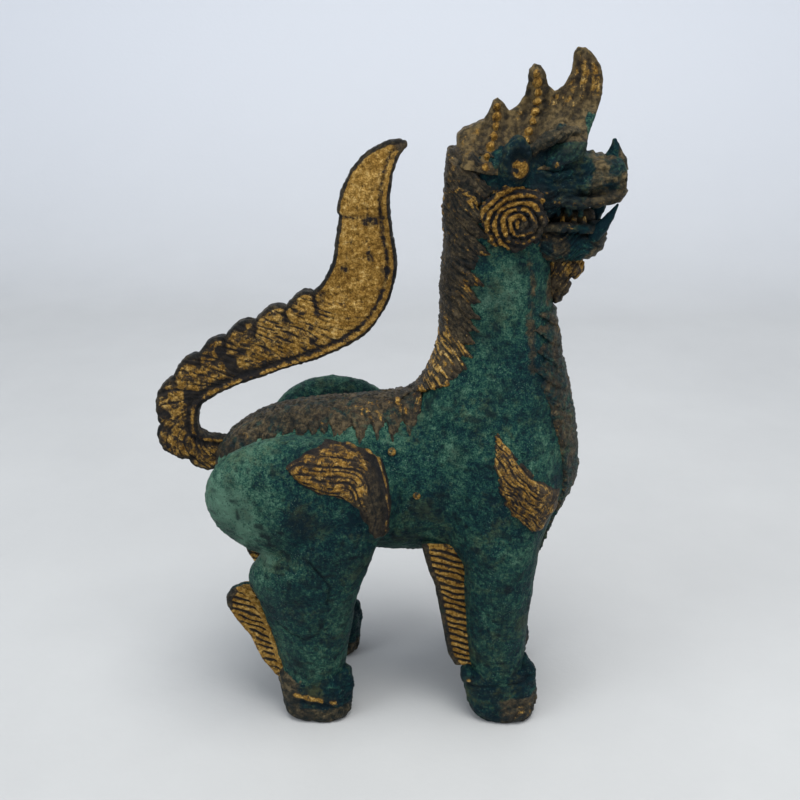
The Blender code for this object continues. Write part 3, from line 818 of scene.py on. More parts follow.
def shoulder_marks(v, n):
    x, y, z = v.T
    hair = shoulder_hair(x, z)
    smooth_end = step(58, 64, x)
    rim = step(1.2, 0, -outline(SHOULDER_FLAME, x, z))
    # painted shade in the cuts between hair strokes and along the flame's border
    deep = 0.85 * step(0.55, 0.25, hair) * (1 - smooth_end) + 0.5 * rim
    return {"gilt": 0.52 - 0.12 * smooth_end, "hair": 0.95, "deep": 0.85 * unit(deep)}


for word in SIDES:
    carve("haunch_flame_" + word,
          lambda x, y, z: flame(HAUNCH_FLAME, 1.6, 2.6, 0.9, 3.0, x, y, z), 0.4, GILT,
          relief=haunch_flame_relief, paint=haunch_flame_marks, pad=3.0)
carve("shoulder_flame", lambda x, y, z: flame(SHOULDER_FLAME, 1.8, 2.8, 1.0, 2.8, x, y, z), 0.4, GILT,
      relief=shoulder_relief, paint=shoulder_marks, mirror=True, pad=3.0)


# ------------------------ head

HEAD = [(25.5, 200, 224, 7), (31, 197, 226.5, 12), (40, 196, 228, 15.5), (50, 196, 229, 16.5),
        (60, 199, 229, 15.5), (66, 204, 228, 13.8), (72, 205.5, 225.5, 12), (80, 206, 224, 10.6),
        (86, 207.5, 223, 9.4), (89.2, 211, 220, 6.4)]
JAW = [(54, 190, 198, 8), (58, 186.5, 200, 12), (66, 185, 200, 12), (73, 185.6, 199, 10.8),
       (78.5, 187.4, 199.3, 9.2), (82.6, 191.0, 199, 6)]
LIP = [(58, 14.2, 207.8), (64, 14.2, 209.4), (70, 13.2, 208.2), (77, 11.6, 208.6), (84, 9.6, 209.6),
       (88, 4, 211.0)]
BROW = [(53.5, 13.0, 226.5), (58, 12.0, 229.4), (63, 10.4, 231.6), (68.0, 8.0, 232.0)]


def near_rail(rail, rise, x, z):
    """Distance in the side plane to a line given with its half width, lifted by a rise."""
    return near_line([(at, height + rise) for at, _, height in rail], x, z)


def head_field(x, y, z):
    side = np.abs(y)
    f = loft_x(HEAD, x, y, z, power=2.3, k=4)
    f = smin(f, cord(BROW, (2.0, 2.5, 2.6, 2.0), x, side, z, 1.5), 2.4)
    f = smin(f, limb((54, 12.5, 212.5), (67, 12.0, 213.0), 4.0, 2.8, x, side, z), 3)
    f = smax(f, -cord([(56.5, 17.6, 221.5), (66.5, 15.2, 222.6)], (3.4, 2.6), x, side, z), 1.2)
    lid = [(56.4, 14.6, 218.6), (62, 14.6, 217.4), (68, 12.4, 219.2)]
    f = smin(f, cord(lid, (1.2, 1.6, 1.1), x, side, z), 0.9)
    f = smin(f, cord(LIP, (1.6, 2.0, 2.1, 1.9, 1.8, 1.5), x, side, z), 1.0)
    muzzle = [(72.5, 12.0, 213.5), (77.5, 11.0, 215.5), (83, 8.6, 216.0)]
    f = smin(f, cord(muzzle, (1.8, 2.2, 2.2), x, side, z), 1.0)
    f = smin(f, ball((84.8, 6.2, 214.8), (3.4, 3.4, 3.2), x, side, z), 1.0)
    f = smax(f, -ball((87.4, 7.6, 215.2), (1.6, 1.3, 1.1), x, side, z), 0.5)
    for at, r in ((63.5, 1.9), (67.5, 2.0), (71.5, 1.8)):
        f = smin(f, limb((at, 10.4, 207.0), (at + 0.3, 10.2, 203.6), r, 0.9, x, side, z), 0.5)
    return f


def head_relief(v, n):
    x, y, z = v.T
    side = np.abs(y)
    face = step(5, 9, side)
    fold = strokes(z - 0.28 * (x - 70) + 1.2 * np.sin(x * 0.55), x, 0 * y, 2.1, 13) * step(55, 60, x) * face
    bridge = 0.35 * np.sin(x * 2.0) * step(68, 72, x) * step(84, 80, x) * step(7, 3, side) * step(219, 223, z)
    return worn(v, 0.4) + crumble(v, 0.34, 2.3) + 0.7 * (fold - 0.5) + bridge


def head_marks(v, n):
    x, y, z = v.T
    side = np.abs(y)
    # socket, mouth, under_lip, under_brow and cuts feed the deep mark: painted shade in the eye socket,
    # inside the mouth, under the lip, under the brow and in the valleys of the lumpy relief
    socket = np.exp(-(((x - 61.5) / 7) ** 2 + ((z - 222) / 3.6) ** 2)) * step(9, 12, side)
    mouth = step(-0.3, -0.8, n[:, 2]) * step(209, 207, z)
    under_lip = bump(near_rail(LIP, 2.6, x, z), 1.0) * step(8, 11, side)
    under_brow = bump(near_rail(BROW, -3.4, x, z), 1.2) * step(8, 11, side)
    brow = bump(near_rail(BROW, 0, x, z), 3.4) * step(6, 9, side)
    lips = bump(near_rail(LIP, 0, x, z), 2.0) * step(8, 10, side)
    cuts = step(0.30, 0.08, np.abs(2 * noise(x, y, z, 2.3) - 1))
    flecks = step(0.55, 0.75, noise(x + 7, y, z, 3.2)) * step(70, 60, x) * step(217, 212, z)
    nose = step(80, 86, x) * step(216, 220, z)
    return {"hair": unit(1.0 * brow + 0.60 * step(70, 77, x) + 0.35 * lips - 0.3 * nose),
            "gilt": unit(0.42 * flecks + 0.30 * lips + 0.12 * nose),
            "pale": 0.35 * np.exp(-(((x - 41) / 4) ** 2 + ((z - 213) / 11) ** 2)) + 0.30 * step(72, 78, x),
            "deep": unit(0.6 * socket + mouth + 0.6 * under_lip + 0.9 * under_brow + 0.6 * cuts) * 0.88}


carve("head_casting", head_field, 0.42, DARK, relief=head_relief,
      paint=head_marks)


def jaw_field(x, y, z):
    side = np.abs(y)
    f = loft_x(JAW, x, y, z, power=2.3, k=3)
    rim = [(58, 12.2, 199.2), (66, 12.0, 199.8), (74, 10.4, 198.6), (79, 8.4, 198.4), (82.0, 4, 198)]
    f = smin(f, cord(rim, (1.5, 1.8, 1.6, 1.5, 1.2), x, side, z), 0.8)
    for at, r in ((65.5, 1.8), (69.5, 2.0), (73.0, 1.7)):
        f = smin(f, limb((at, 9.2, 199.0), (at + 0.4, 9.0, 202.6), r, 0.8, x, side, z), 0.5)
    return f


def jaw_folds(x, z):
    return strokes(z + 2.4 * np.sin(x * 0.40 + 0.6) - 0.25 * x, x, 0 * x, 2.4, 14)


def jaw_relief(v, n):
    x, y, z = v.T
    return worn(v, 0.35) + crumble(v, 0.30, 2.2) + 0.9 * (jaw_folds(x, z) - 0.5) * step(199, 197, z)


def jaw_marks(v, n):
    x, y, z = v.T
    # painted shade in the troughs of the folds and on the upward faces inside the mouth
    cut = step(0.45, 0.15, jaw_folds(x, z)) * step(199, 197, z)
    return {"deep": unit(0.85 * cut + step(0.3, 0.9, n[:, 2]) * 0.6),
            "hair": 0.55 * step(0.35, 0.6, noise(x, y, z, 6)) + 0.2,
            "gilt": 0.30 * step(0.5, 0.75, noise(x + 5, y, z, 4)) + 0.35 * step(200, 201.5, z)}


carve("lower_jaw", jaw_field, 0.4, DARK, relief=jaw_relief, paint=jaw_marks)
def tongue_field(x, y, z):
    groove = -(np.abs(y) - 0.5 + 0.6 * (204.4 - z))
    return smax(ball((69.5, 0, 201.8), (9.5, 6.6, 3.5), x, y, z), groove, 0.6)


carve("tongue", tongue_field, 0.35, HAIR, relief=hewn(0.3, 0.2),
      paint=lambda v, n: {"hair": 1.0, "deep": 0.3})


def horn_field(x, y, z):
    spine = [(82.4, 0, 218), (83.2, 0, 222), (83.8, 0, 225), (83.6, 0, 228.0)]
    return smin(cord(spine, (3.8, 2.6, 1.6, 0.9), x, y, z, 1.2),
                cord([(86.8, 0, 216.5), (86.4, 0, 221), (84.6, 0, 226.2)], (2.8, 2.1, 0.9), x, y, z), 0.6)


# the deep mark of the horn is painted shade along the crease where its two ridges meet
carve("nose_horn", horn_field, 0.3, DARK, relief=hewn(0.3, 0.14, 1.6), pad=5,
      paint=lambda v, n: {"hair": 0.95 * step(84.6, 85.8, v[:, 0]),
                          "deep": 0.7 * bump(v[:, 0] - 85.0 - 0.1 * (228 - v[:, 2]), 0.5)})


PUPIL = (61.9, 221.7)


def eye_marks(v, n):
    gap = np.hypot(v[:, 0] - PUPIL[0], v[:, 2] - PUPIL[1])
    # painted shade in the crease where the pupil meets the eyeball
    return {"pale": 0.2, "gilt": 0.4 * step(1.9, 1.3, gap), "deep": 0.6 * bump(gap - 1.5, 0.4)}


carve("eye", lambda x, y, z: smin(
    ball((61.6, -13.2, 221.6), (3.4, 3.0, 2.7), x, y, z),
    ball((PUPIL[0], -15.9, PUPIL[1]), (1.2, 0.8, 1.1), x, y, z), 0.3), 0.24, DARK,
      relief=hewn(0.12), paint=eye_marks, mirror=True, pad=4)


def ear_field(x, y, z):
    f = cord([(46.5, -14.0, 215.5), (47.4, -16.0, 221), (48.2, -17.2, 226), (48.6, -17.4, 229.4)],
             (4.4, 5.0, 4.6, 2.6), x, y, z, 1.5)
    f = smax(f, y + 11.6, 0.8)
    f = smax(f, -ball((49.0, -22.6, 223.4), (3.8, 3.6, 5.2), x, y, z), 0.8)
    return smin(f, ball((49.3, -19.0, 221.0), (2.8, 2.3, 3.2), x, y, z), 0.4)


def ear_marks(v, n):
    x, y, z = v.T
    core = step(1.5, 0.9, np.sqrt(((x - 49.3) / 2.6) ** 2 + ((z - 221.0) / 3.0) ** 2)) * step(-16.5, -18.2, y)
    cup = step(1.6, 1.2, np.sqrt(((x - 49.0) / 3.2) ** 2 + ((z - 223.0) / 4.8) ** 2))
    rough = step(0.15, 0.5, noise(x, y, z, 1.6))
    # painted shade in the hollow of the ear cup; the rough patches of the core are real dark patina
    deep = 0.8 * (cup - core) + 0.6 * core * (1 - rough)
    return {"gilt": 0.78 * core * rough, "hair": core, "deep": unit(deep)}


carve("ear", ear_field, 0.33, DARK,
      relief=hewn(0.3, 0.30, 2.0), paint=ear_marks, mirror=True, pad=5)

CURL = (50.0, 202.6)
CURL_PITCH = 2.75       # distance from one arc of the scroll to the next


def curl_wave(x, z):
    """Height wave of a scroll of hand-made arcs, nested like a comma round a low centre."""
    u = x - CURL[0] + 1.8 * (noise(x, 0, z, 5) - 0.5)
    w = z - CURL[1] + 1.8 * (noise(x + 30, 0, z, 5) - 0.5)
    r = np.hypot(u, w)
    turn = np.arctan2(w, u)
    pitch = CURL_PITCH - 0.25 * np.cos(turn - 2.0)
    wave = np.abs(2 * ((r / pitch + 0.35 - 0.16 * turn) % 1.0) - 1)
    beads = 0.5 + 0.5 * np.sin(turn * (3.2 + 1.6 * np.floor(r / CURL_PITCH + 0.35)))
    return 2 * wave - 1 + 0.3 * (beads - 0.5), turn


def curl_field(x, y, z):
    wave, turn = curl_wave(x, z)
    r = np.hypot(x - 48.4, z - 203.3)
    fringe = 11.8 + 0.7 * np.sin(turn * 7 + 0.6) - 1.2 * step(-0.5, 0.5, np.cos(turn + 0.9))
    dome = 18.4 + 2.2 * np.sqrt(unit(1 - (r / 13.5) ** 2)) + 0.55 * wave - 1.1
    return smax(smax(r - fringe, -y - dome, 1.2), y + 11.5, 0.5)


def curl_marks(v, n):
    x, y, z = v.T
    wave, turn = curl_wave(x, z)
    face = step(-14.5, -16.5, y)
    # painted highlight: gold is laid thicker on the upper left of the scroll, the side the light comes from
    bright = 0.5 + 0.5 * np.cos(turn - 2.7)
    lower = step(197.5, 192.5, z - 0.3 * (x - 48))
    spot = noise(x, y, z, 1.7)
    gilt = face * (0.26 + 0.36 * wave + 0.68 * bright - 0.15 * lower + 1.3 * (spot - 0.5))
    # painted shade in the troughs of the arcs and over the lower part; the dark spots from spot are real
    # patina
    deep = step(0.25, -0.5, wave) * face * 0.75 + 0.35 * lower + 0.3 * step(0.4, 0.2, spot)
    return {"gilt": unit(gilt), "hair": 0.9 * face, "deep": 0.9 * unit(deep)}


carve("cheek_curl", curl_field, 0.33, GILT,
      relief=hewn(0.7, 0.75, 1.5), paint=curl_marks, mirror=True, pad=2.5)
carve("upper_fang", lambda x, y, z: cord(
    [(78.8, -6.4, 208.5), (78.8, -6.6, 205), (78.2, -6.2, 201.4)], (2.3, 1.9, 0.5), x, y, z), 0.25, DARK,
      relief=hewn(0.2), mirror=True, pad=3)
carve("lower_tusk", lambda x, y, z: cord(
    [(77.4, -8.8, 196.0), (79.8, -9.6, 199.4), (82.2, -9.9, 203), (84.6, -9.9, 207.2)], (2.4, 2.3, 1.5, 0.5),
    x, y, z), 0.25, DARK, relief=hewn(0.2), mirror=True, pad=3)


# ------------------------ crest and hair

COMB = [(28, 220), (28, 230), (30.5, 232.2), (34, 233.6), (37.4, 235.2), (39.2, 239.0), (40.2, 241.8),
        (42.0, 242.8), (43.8, 241.2), (46.2, 238.2), (48.8, 239.8), (51.4, 243.8), (52.2, 248.6),
        (52.6, 252), (54.2, 253.8), (56.6, 253.2), (58.4, 250.2), (59.4, 246.8), (61.7, 245.0),
        (64.5, 246.6), (66.6, 250.3), (67.4, 254.8), (67.4, 257.8), (68.8, 259.5), (71.4, 259.2),
        (74.2, 256.8), (76.9, 253.2), (78.2, 248.8), (78.2, 244), (77.2, 239.5), (75.4, 235),
        (73.2, 230.5), (71.5, 224), (60, 220), (40, 218)]
RIDGES = ([(41.4, 241.8), (41.6, 236), (40.6, 230), (38.4, 223.5), (36.0, 214)],
          [(54.3, 253), (55.6, 246), (55.4, 240), (53.8, 234), (51.4, 228)],
          [(69.4, 258.6), (71.8, 251), (70.6, 243), (66.5, 236.5), (61, 233)])


def bead_string():
    """Place and radius of the beads along the two front ridges."""
    beads = []
    for ridge in RIDGES[:2]:
        path = curve(ridge, 80)
        run = np.concatenate([[0], np.cumsum(np.hypot(*np.diff(path, axis=0).T))])
        for k, s in enumerate(np.arange(2.0, run[-1] - 0.5, BEAD_PITCH)):
            beads.append((np.interp(s, run, path[:, 0]), np.interp(s, run, path[:, 1]),
                          1.35 + 0.2 * math.sin(k * 2.1)))
    return beads


BEAD_PITCH = 3.3
VALLEY = 3.0            # distance of the grooves on both sides of a ridge
BEADS = bead_string()


def comb_half(x, z):
    """Half thickness of the crest: thin fins above, flaring out over the skull, ridged under each point."""
    near = [near_line(line, x, z) for line in RIDGES]
    foot = 221.5 + 8.0 * step(56, 68, x)
    flare = 11.6 * np.clip((243 - z) / (243 - foot), 0, 1.15) ** 2.0
    flare = flare * (1 - 0.30 * step(64, 74, x)) * step(25, 31, x)
    half = 1.25 + flare + 0.55 * bump(near[0], 1.9) + 0.65 * bump(near[1], 1.9) + 0.9 * bump(near[2], 1.0)
    return half - 0.7 * (bump(near[0] - VALLEY, 0.9) + bump(near[1] - VALLEY, 0.9)), near


def comb_field(x, y, z):
    half, _ = comb_half(x, z)
    f = smax(outline(COMB, x, z), np.abs(y) - half, 1.0)
    for bx, bz, size in BEADS:
        by = float(comb_half(np.float32(bx), np.float32(bz))[0])
        f = smin(f, ball((bx, by, bz), (size, 1.3, size), x, np.abs(y), z), 0.25)
    return f


def comb_veins(x, z):
    return strokes(x * 0.75 - z * 0.35, z + x, 0 * x, 2.4, 15)


def comb_relief(v, n):
    x, _, z = v.T
    veins = comb_veins(x, z)
    return worn(v, 0.35) + crumble(v, 0.22, 2.0) + 0.50 * (veins - 0.5) * step(0.8, 2, -outline(COMB, x, z))


def comb_marks(v, n):
    x, _, z = v.T
    _, near = comb_half(x, z)
    beads = np.zeros_like(x)
    for bx, bz, size in BEADS:
        beads = np.maximum(beads, step(1.5 * size, 0.7 * size, np.hypot(x - bx, z - bz)))
    horn = step(58, 66, x) * step(238, 248, z)
    edge = step(1.8, 0.3, -outline(COMB, x, z))
    front = step(70, 74, x) * step(243, 235, z)
    points = step(250, 254, z) * step(62, 58, x) + step(256, 258.5, z) + step(240.5, 242, z) * step(46, 44, x)
    veins = comb_veins(x, z)
    # painted shade in the grooves beside the ridges and in the vein troughs; the edge and the root are
    # darkened as well
    groove = 0.7 * bump(near[0] - VALLEY, 1.1) + 0.7 * bump(near[1] - VALLEY, 1.1)
    groove = groove + 0.6 * bump(near[2] - 1.8, 0.7)
    low = step(242, 232, z) * step(54, 60, x)
    root = step(231.5, 227.5, z) * step(56, 61, x)
    gilt = 0.50 * beads + 0.26 * horn + 0.20 + 0.10 * veins - 0.8 * front
    gilt = gilt - 0.5 * points - 0.25 * edge - 0.3 * low
    deep = groove + 0.35 * edge + 0.25 * step(0.45, 0.15, veins) + 0.6 * root
    return {"gilt": unit(gilt), "pale": (0.85 + 0.2 * horn - 0.5 * low) * (1 - front) * (1 - root),
            "hair": 1.0 - 1.7 * np.maximum(front, root), "deep": 0.75 * unit(deep)}


carve("crest_comb", comb_field, 0.38, HAIR, relief=comb_relief, paint=comb_marks,
      pad=13)


def skull(x, y, z):
    return smin(casting(x, y, z), loft_x(HEAD, x, y, z, power=2.3, k=4), 4)


def tips(along, pitch, reach):
    """Ragged reach of the flame tips along a mane's edge."""
    sway = along / pitch + 1.6 * noise(along, 0 * along, 0 * along + 5, pitch * 1.7)
    return reach * (0.35 + 1.3 * noise(along, 0 * along, 0 * along + 60, pitch * 1.3)) * (sway % 1.0) ** 1.3


def lock_wave(across, along, side):
    """Broad locks with fine chisel strokes over them."""
    bend = 2.2 * noise(across, along, side, 8)
    chisel = strokes(across + bend, along, side + 9, 2.1, 8)
    return 0.45 * chisel + 0.55 * strokes(across + bend, along, side + 40, 5.2, 12)


def mane(name, skin, edge, ends, flow, height=1.6, gold=0.30, tone=1.0):
    """Hair laid on the skin: edge gives the distance past its border, flow the stroke coordinates."""
    def field(x, y, z):
        gap = edge(x, np.abs(y), z)
        proud = (height + 0.35) * np.sqrt(unit(-gap / 7)) - 0.35
        return shell(skin(x, y, z), proud, np.maximum(gap, ends(x, z)), 0.6)

    def wave(v):
        x, y, z = v.T
        across, along = flow(x, np.abs(y), z)
        return lock_wave(across, along, 3.0 * (y > 0))

    def relief(v, n):
        return worn(v, 0.4) + 1.2 * (wave(v) - 0.5) + crumble(v, 0.22, 1.8)

    def marks(v, n):
        x, y, z = v.T
        crest = wave(v)
        # painted shade in the troughs between the locks and a little along the mane's border
        rim = step(2.5, 0.4, -edge(x, np.abs(y), z))
        bright = step(0.45, 0.75, noise(x, y, z, 11))
        return {"hair": tone, "gilt": unit((gold + 0.40 * bright) * step(0.40, 0.7, crest)),
                "deep": unit(0.8 * step(0.55, 0.22, crest) + 0.25 * rim) * 0.85}

    carve(name, field, 0.42, HAIR, relief=relief, paint=marks, pad=9)


def nape_edge(x, side, z):
    back = np.where(z > 205, 26.5, through([row[:2] for row in CHEST], z)[0])
    return (x - back - 7.0 - 2.0 * step(150, 165, z) - tips(z + 0.9 * x, 7.0, 4.5)) * 0.75


def chest_edge(x, side, z):
    front = through([row[:3] for row in CHEST], z)[1]
    wide = 3.5 + 6.0 * step(165, 135, z)
    return (front - wide - tips(-z - 0.8 * x, 7.0, 4.0) - x) * 0.75


def back_edge(x, side, z):
    return side - 13.5 - tips(0.4 * side - x, 6.5, 5.0) * step(-62, -50, x) + 5 * step(-56, -64, x)


mane("nape_mane", skull, nape_edge, lambda x, z: np.maximum(138 - z - 0.55 * (20 - x), z - 225.8),
     lambda x, side, z: (z + 0.85 * x, x - z), gold=0.26)
mane("back_mane", trunk, back_edge, lambda x, z: np.maximum(np.maximum(x - 16, -65 - x), 100 - z),
     lambda x, side, z: (x - 0.3 * side, 2.0 * side), height=1.2, gold=0.04, tone=-0.12)
mane("chest_mane", casting, chest_edge, lambda x, z: np.maximum(np.maximum(50 - x, 73 - z), z - 168),
     lambda x, side, z: (z + 0.7 * x, x - z), height=1.2, gold=0.04, tone=-0.22)

BEARD = [(168, 62.0, 64.4, 0, 1.4), (172, 60.5, 66.2, 0, 3.6), (178, 60, 70.4, 0, 5.6),
         (186, 60, 75, 0, 7)]

BEARD_TUFTS = ((71.5, 182.5, 4.5), (68.0, 176, 3.8), (65.8, 172.5, 2.2), (73.6, 182.5, 0), (68.6, 176, 0))


def beard_field(x, y, z):
    f = loft_z(BEARD, x, y, z, k=1.5)
    for cx, cz, cy in BEARD_TUFTS:
        f = smin(f, ball((cx, cy, cz), (2.4, 2.6, 3.2), x, np.abs(y), z), 0.8)
    return f


def beard_wave(v):
    x, y, z = v.T
    return strokes(z * 0.6 - x, z, y, 2.1, 7)


# the deep mark of the beard is painted shade in the troughs between its strokes
carve("beard_tuft", beard_field, 0.38, HAIR,
      relief=lambda v, n: worn(v, 0.3) + 0.7 * (beard_wave(v) - 0.5) + crumble(v, 0.3, 2.0),
      paint=lambda v, n: {"hair": 1.0, "deep": 0.8 * step(0.45, 0.15, beard_wave(v)),
                          "gilt": 0.30 + 0.5 * step(179, 182, v[:, 2]) * step(8, 4, np.abs(v[:, 1]))})


# ------------------------ tail

# rows of the tail's centre line: x, z, half width
TAIL = [(-62, 107, 6.5), (-71, 107.5, 7), (-78, 112, 7.5), (-79.8, 121, 8), (-76.5, 131, 8),
        (-67.5, 139, 9), (-55, 145.8, 10.3), (-41, 152.3, 11.6), (-26, 158.4, 12.2), (-12.8, 167.0, 13),
        (-6.0, 180, 12.4), (-5.3, 194.8, 10.5), (-4.8, 207.2, 9.0), (-1.2, 217.0, 7.0),
        (3.8, 223.6, 4.4), (7.4, 226.4, 2.6)]
# runs at which the outer edge is notched, and the height of the lobe after each notch
NOTCHES = (0, 12, 24, 40, 52, 64, 77, 90, 104, 150, 200)
LOBES = (2.6, 2.6, 2.0, 1.8, 2.0, 2.2, 2.4, 2.4, 0.3, 0.0)
SHOULDER = 148.0        # run at which the upper leaf of the tail overlaps the lower part

tail_path = curve(TAIL, 260)
tail_run = np.concatenate([[0], np.cumsum(np.hypot(*np.diff(tail_path[:, :2], axis=0).T))])


def tail_place(x, z):
    """Run along the tail's centre line, distance to its outer side, and half width there."""
    x, z = (np.asarray(c, dtype=np.float32) for c in np.broadcast_arrays(x, z))
    best = np.full(x.shape, 1e9, dtype=np.float32)
    run = np.zeros(x.shape, dtype=np.float32)
    out = np.zeros(x.shape, dtype=np.float32)
    tangent = np.gradient(tail_path[:, :2], axis=0)
    tangent /= np.linalg.norm(tangent, axis=1, keepdims=True)
    for (px, pz, _), (tx, tz), s in zip(tail_path, tangent, tail_run):
        u, w = x - px, z - pz
        d = u * u + w * w
        nearer = d < best
        best = np.where(nearer, d, best)
        run = np.where(nearer, s + u * tx + w * tz, run)
        out = np.where(nearer, -u * tz + w * tx, out)
    half = np.interp(run, tail_run, tail_path[:, 2])
    return run, np.where(out < 0, -1, 1) * np.sqrt(best), half


def lobe_at(run):
    total = np.zeros_like(run)
    for start, end, height in zip(NOTCHES, NOTCHES[1:], LOBES):
        t = unit((run - start) / (end - start))
        total = total + height * np.abs(np.sin(math.pi * t ** 1.35)) ** 0.8 * ((run >= start) & (run < end))
    return total


def tail_relief(run, out, half):
    """Half thickness of the leaf: rib near the inner edge, trough beside it, grooves from the notches."""
    upper = step(SHOULDER - 0.8, SHOULDER + 0.8, run)
    outer = half + lobe_at(run) - 0.8 + 1.2 * upper * step(182, 168, run)
    groove = 0
    for s in NOTCHES[1:-2]:
        groove = groove + bump(run - s + 0.35 * (outer - out), 0.9) * step(1.0, 5.5, out)
    rib = bump(out + half - 1.5, 0.9) * step(195, 150, run)
    trough = bump(out + half - 3.6, 0.9) * step(195, 150, run)
    body = 2.6 * np.clip(half / 8, 0.55, 1) + 0.6 * rib - 0.6 * trough - 0.7 * groove + 0.4 * upper
    return body, outer, groove, rib, trough, upper


def tail_field(x, y, z):
    run, out, half = tail_place(x, z)
    body, outer, *_ = tail_relief(run, out, half)
    edge = np.maximum(out - outer, -out - half)
    return smax(edge, np.abs(y) - body, 1.3)


def lengthwise(run):
    """How far the strokes have turned from across the tail to along it."""
    return step(100, 135, run)


def tail_hair(run, out):
    low = combed(run + 0.9 * out, out, (2.4, 9), (5.5, 14), 60)
    high = combed(out, run, (1.9, 16), (4.6, 24), 60)
    blend = lengthwise(run)
    return low * (1 - blend) + high * blend


def tail_bumps(v, n):
    run, out, half = tail_place(v[:, 0], v[:, 2])
    rib = tail_relief(run, out, half)[3]
    face = step(0.35, 0.75, np.abs(n[:, 1])) * (1 - unit(rib))
    combing = 0.9 * (tail_hair(run, out) - 0.5) * face * (1 - 0.4 * lengthwise(run))
    return worn(v, 0.5) + crumble(v, 0.30, 2.0) + combing


def tail_marks(v, n):
    x, y, z = v.T
    run, out, half = tail_place(x, z)
    _, outer, groove, rib, trough, upper = tail_relief(run, out, half)
    margin = np.minimum(outer - out, out + half)
    face = step(0.35, 0.75, np.abs(n[:, 1]))
    hair = tail_hair(run, out)
    fade = 0.27 * step(125, 70, run)
    wide = 0.5 + 1.8 * noise(x, y, z, 7) + 1.2 * step(160, 172, run)
    border = step(wide, wide - 1.4, outer - out)
    gilt = face * step(0.4, 1.6, margin) * (0.80 - fade) * (1 - 0.9 * border) * step(182, 172, run - out)
    blots = step(0.66, 0.80, noise(x + 3, y, z + 8, 4.5)) * (1 - 0.6 * upper)
    shoulder = bump(run - SHOULDER + 1.0, 0.7)
    # painted shade in the notch grooves, the trough by the rib, the cuts between strokes and the step at the
    # shoulder; the blots are real dark patches and the edges are darkened as well
    cuts = step(0.50, 0.20, hair) * (0.75 - 0.45 * lengthwise(run))
    low = 0.55 * unit(groove) + 0.7 * trough + cuts + 0.7 * blots + 0.5 * shoulder
    edge = 1 - step(0.3, 1.8, margin)
    deep = low * face + 0.6 * edge + 0.3 * border
    return {"gilt": unit(gilt + 0.25 * rib * face), "hair": 0.95, "deep": 0.85 * unit(deep)}


carve("tail", tail_field, 0.42, GILT, relief=tail_bumps, paint=tail_marks, pad=4)


# ------------------------ core pins

PIN_RADIUS = 1.5

for place in ("front", "rear"):
    low, high = mm_box("core_pin_%s_right" % place)
    cx, _, cz = (low + high) / 2

    def pin_field(x, y, z):
        r = np.hypot(x - cx, z - cz)
        dome = 0.25 * np.sqrt(unit(1 - (r / 2) ** 2))
        return smax(smax(r - PIN_RADIUS, low[1] - y - dome, 0.5), y - high[1], 0.3)

    carve("core_pin_" + place, pin_field, 0.25, GILT,
          relief=hewn(0.15), paint=lambda v, n: {"gilt": 0.5}, mirror=True, pad=1.0)


# ------------------------ floor, light and camera

FLOOR_FRONT = -1.2      # metres in front of the statue
FLOOR_BACK = 0.55       # where the floor starts to curve up
BEND = 0.45             # radius of that curve
WALL_TOP = 1.8
HALF_WIDTH = 2.2
PALE_FROM = 0.45        # where the floor starts to turn into the paler backdrop
PALE_OVER = 0.5


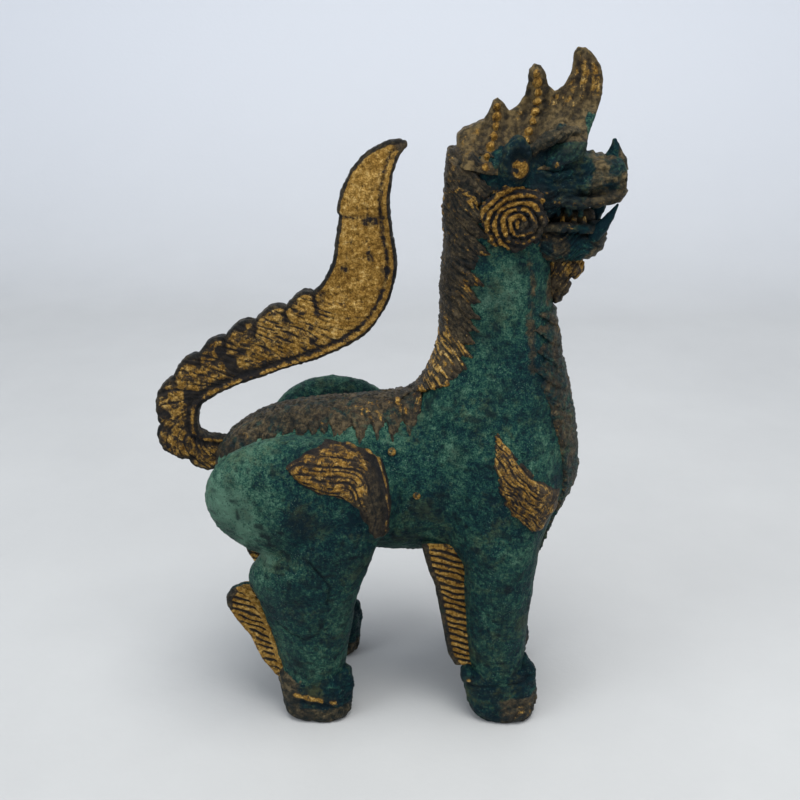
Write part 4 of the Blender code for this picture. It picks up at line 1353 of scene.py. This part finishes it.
def sweep():
    """A pale floor that curves up into a backdrop."""
    turn = np.linspace(0.1, math.pi / 2, 14)
    profile = [(FLOOR_FRONT, 0), (FLOOR_BACK, 0)]
    profile += [(FLOOR_BACK + BEND * math.sin(a), BEND - BEND * math.cos(a)) for a in turn]
    profile += [(FLOOR_BACK + BEND, WALL_TOP)]
    verts = [(x, y, z) for x in (-HALF_WIDTH, HALF_WIDTH) for y, z in profile]
    n = len(profile)
    faces = [(i, i + n, i + n + 1, i + 1) for i in range(n - 1)]
    mesh = bpy.data.meshes.new("sweep")
    mesh.from_pydata(verts, [], faces)
    mesh.shade_smooth()
    obj = bpy.data.objects.new("sweep", mesh)
    bpy.context.scene.collection.objects.link(obj)
    backdrop = mesh.attributes.new("pale", "FLOAT", "POINT")
    backdrop.data.foreach_set("value", [float(unit((y - PALE_FROM) / PALE_OVER)) for _, y, _ in verts])
    g = Graph("pale_sweep")
    tone = g.ramp(g.noise(9, 6, 0.6), [(0.3, (0.455, 0.46, 0.452)), (0.7, (0.50, 0.505, 0.495))])
    tone = g.mix(g.mark("pale"), tone, (0.68, 0.71, 0.76))
    mesh.materials.append(g.finish(tone, 0.75, 0.0, g.noise(260, 3, 0.5), 0.0001))


sweep()


def area(name, place, size, power, colour):
    """A round lamp that faces the statue's middle."""
    lamp = bpy.data.lights.new(name, "AREA")
    lamp.shape = "DISK"
    lamp.size = size
    lamp.energy = power
    lamp.color = colour
    obj = bpy.data.objects.new(name, lamp)
    obj.location = place
    obj.rotation_euler = (Vector((0, 0, 0.12)) - Vector(place)).to_track_quat("-Z", "Y").to_euler()
    bpy.context.scene.collection.objects.link(obj)


area("overhead", (0.15, -0.25, 1.25), 0.9, 13.0, (1.0, 0.985, 0.96))
area("window", (-0.9, -0.6, 0.75), 0.8, 5.0, (0.93, 0.97, 1.0))
area("fill", (0.9, -0.7, 0.55), 0.9, 3.0, (1.0, 0.98, 0.95))

SKY = {"Color": (0.86, 0.91, 1.0, 1.0), "Strength": 0.55}
world = bpy.data.worlds.new("studio")
world.use_nodes = True
for key, value in SKY.items():
    world.node_tree.nodes["Background"].inputs[key].default_value = value
bpy.context.scene.world = world
bpy.context.scene.view_settings.view_transform = "Standard"

ELEVATION = math.radians(21)
AZIMUTH = math.radians(2)
DISTANCE = 0.4085           # metres from the aim to the camera
AIM_AHEAD = 0.0078          # metres towards the head from the middle of the box
AIM_HEIGHT = 0.496          # share of the statue's height
lo, hi = (Vector(c) for c in cad_bounds)
aim = Vector(((lo.x + hi.x) / 2 + AIM_AHEAD, 0, hi.z * AIM_HEIGHT))
level = math.cos(ELEVATION)
away = Vector((math.sin(AZIMUTH) * level, -math.cos(AZIMUTH) * level, math.sin(ELEVATION)))
camera = bpy.data.objects.new("camera", bpy.data.cameras.new("camera"))
camera.data.sensor_width = 36
camera.data.lens = 47.25
camera.location = aim + away * DISTANCE
camera.rotation_euler = (-away).to_track_quat("-Z", "Y").to_euler()
bpy.context.scene.collection.objects.link(camera)
bpy.context.scene.camera = camera
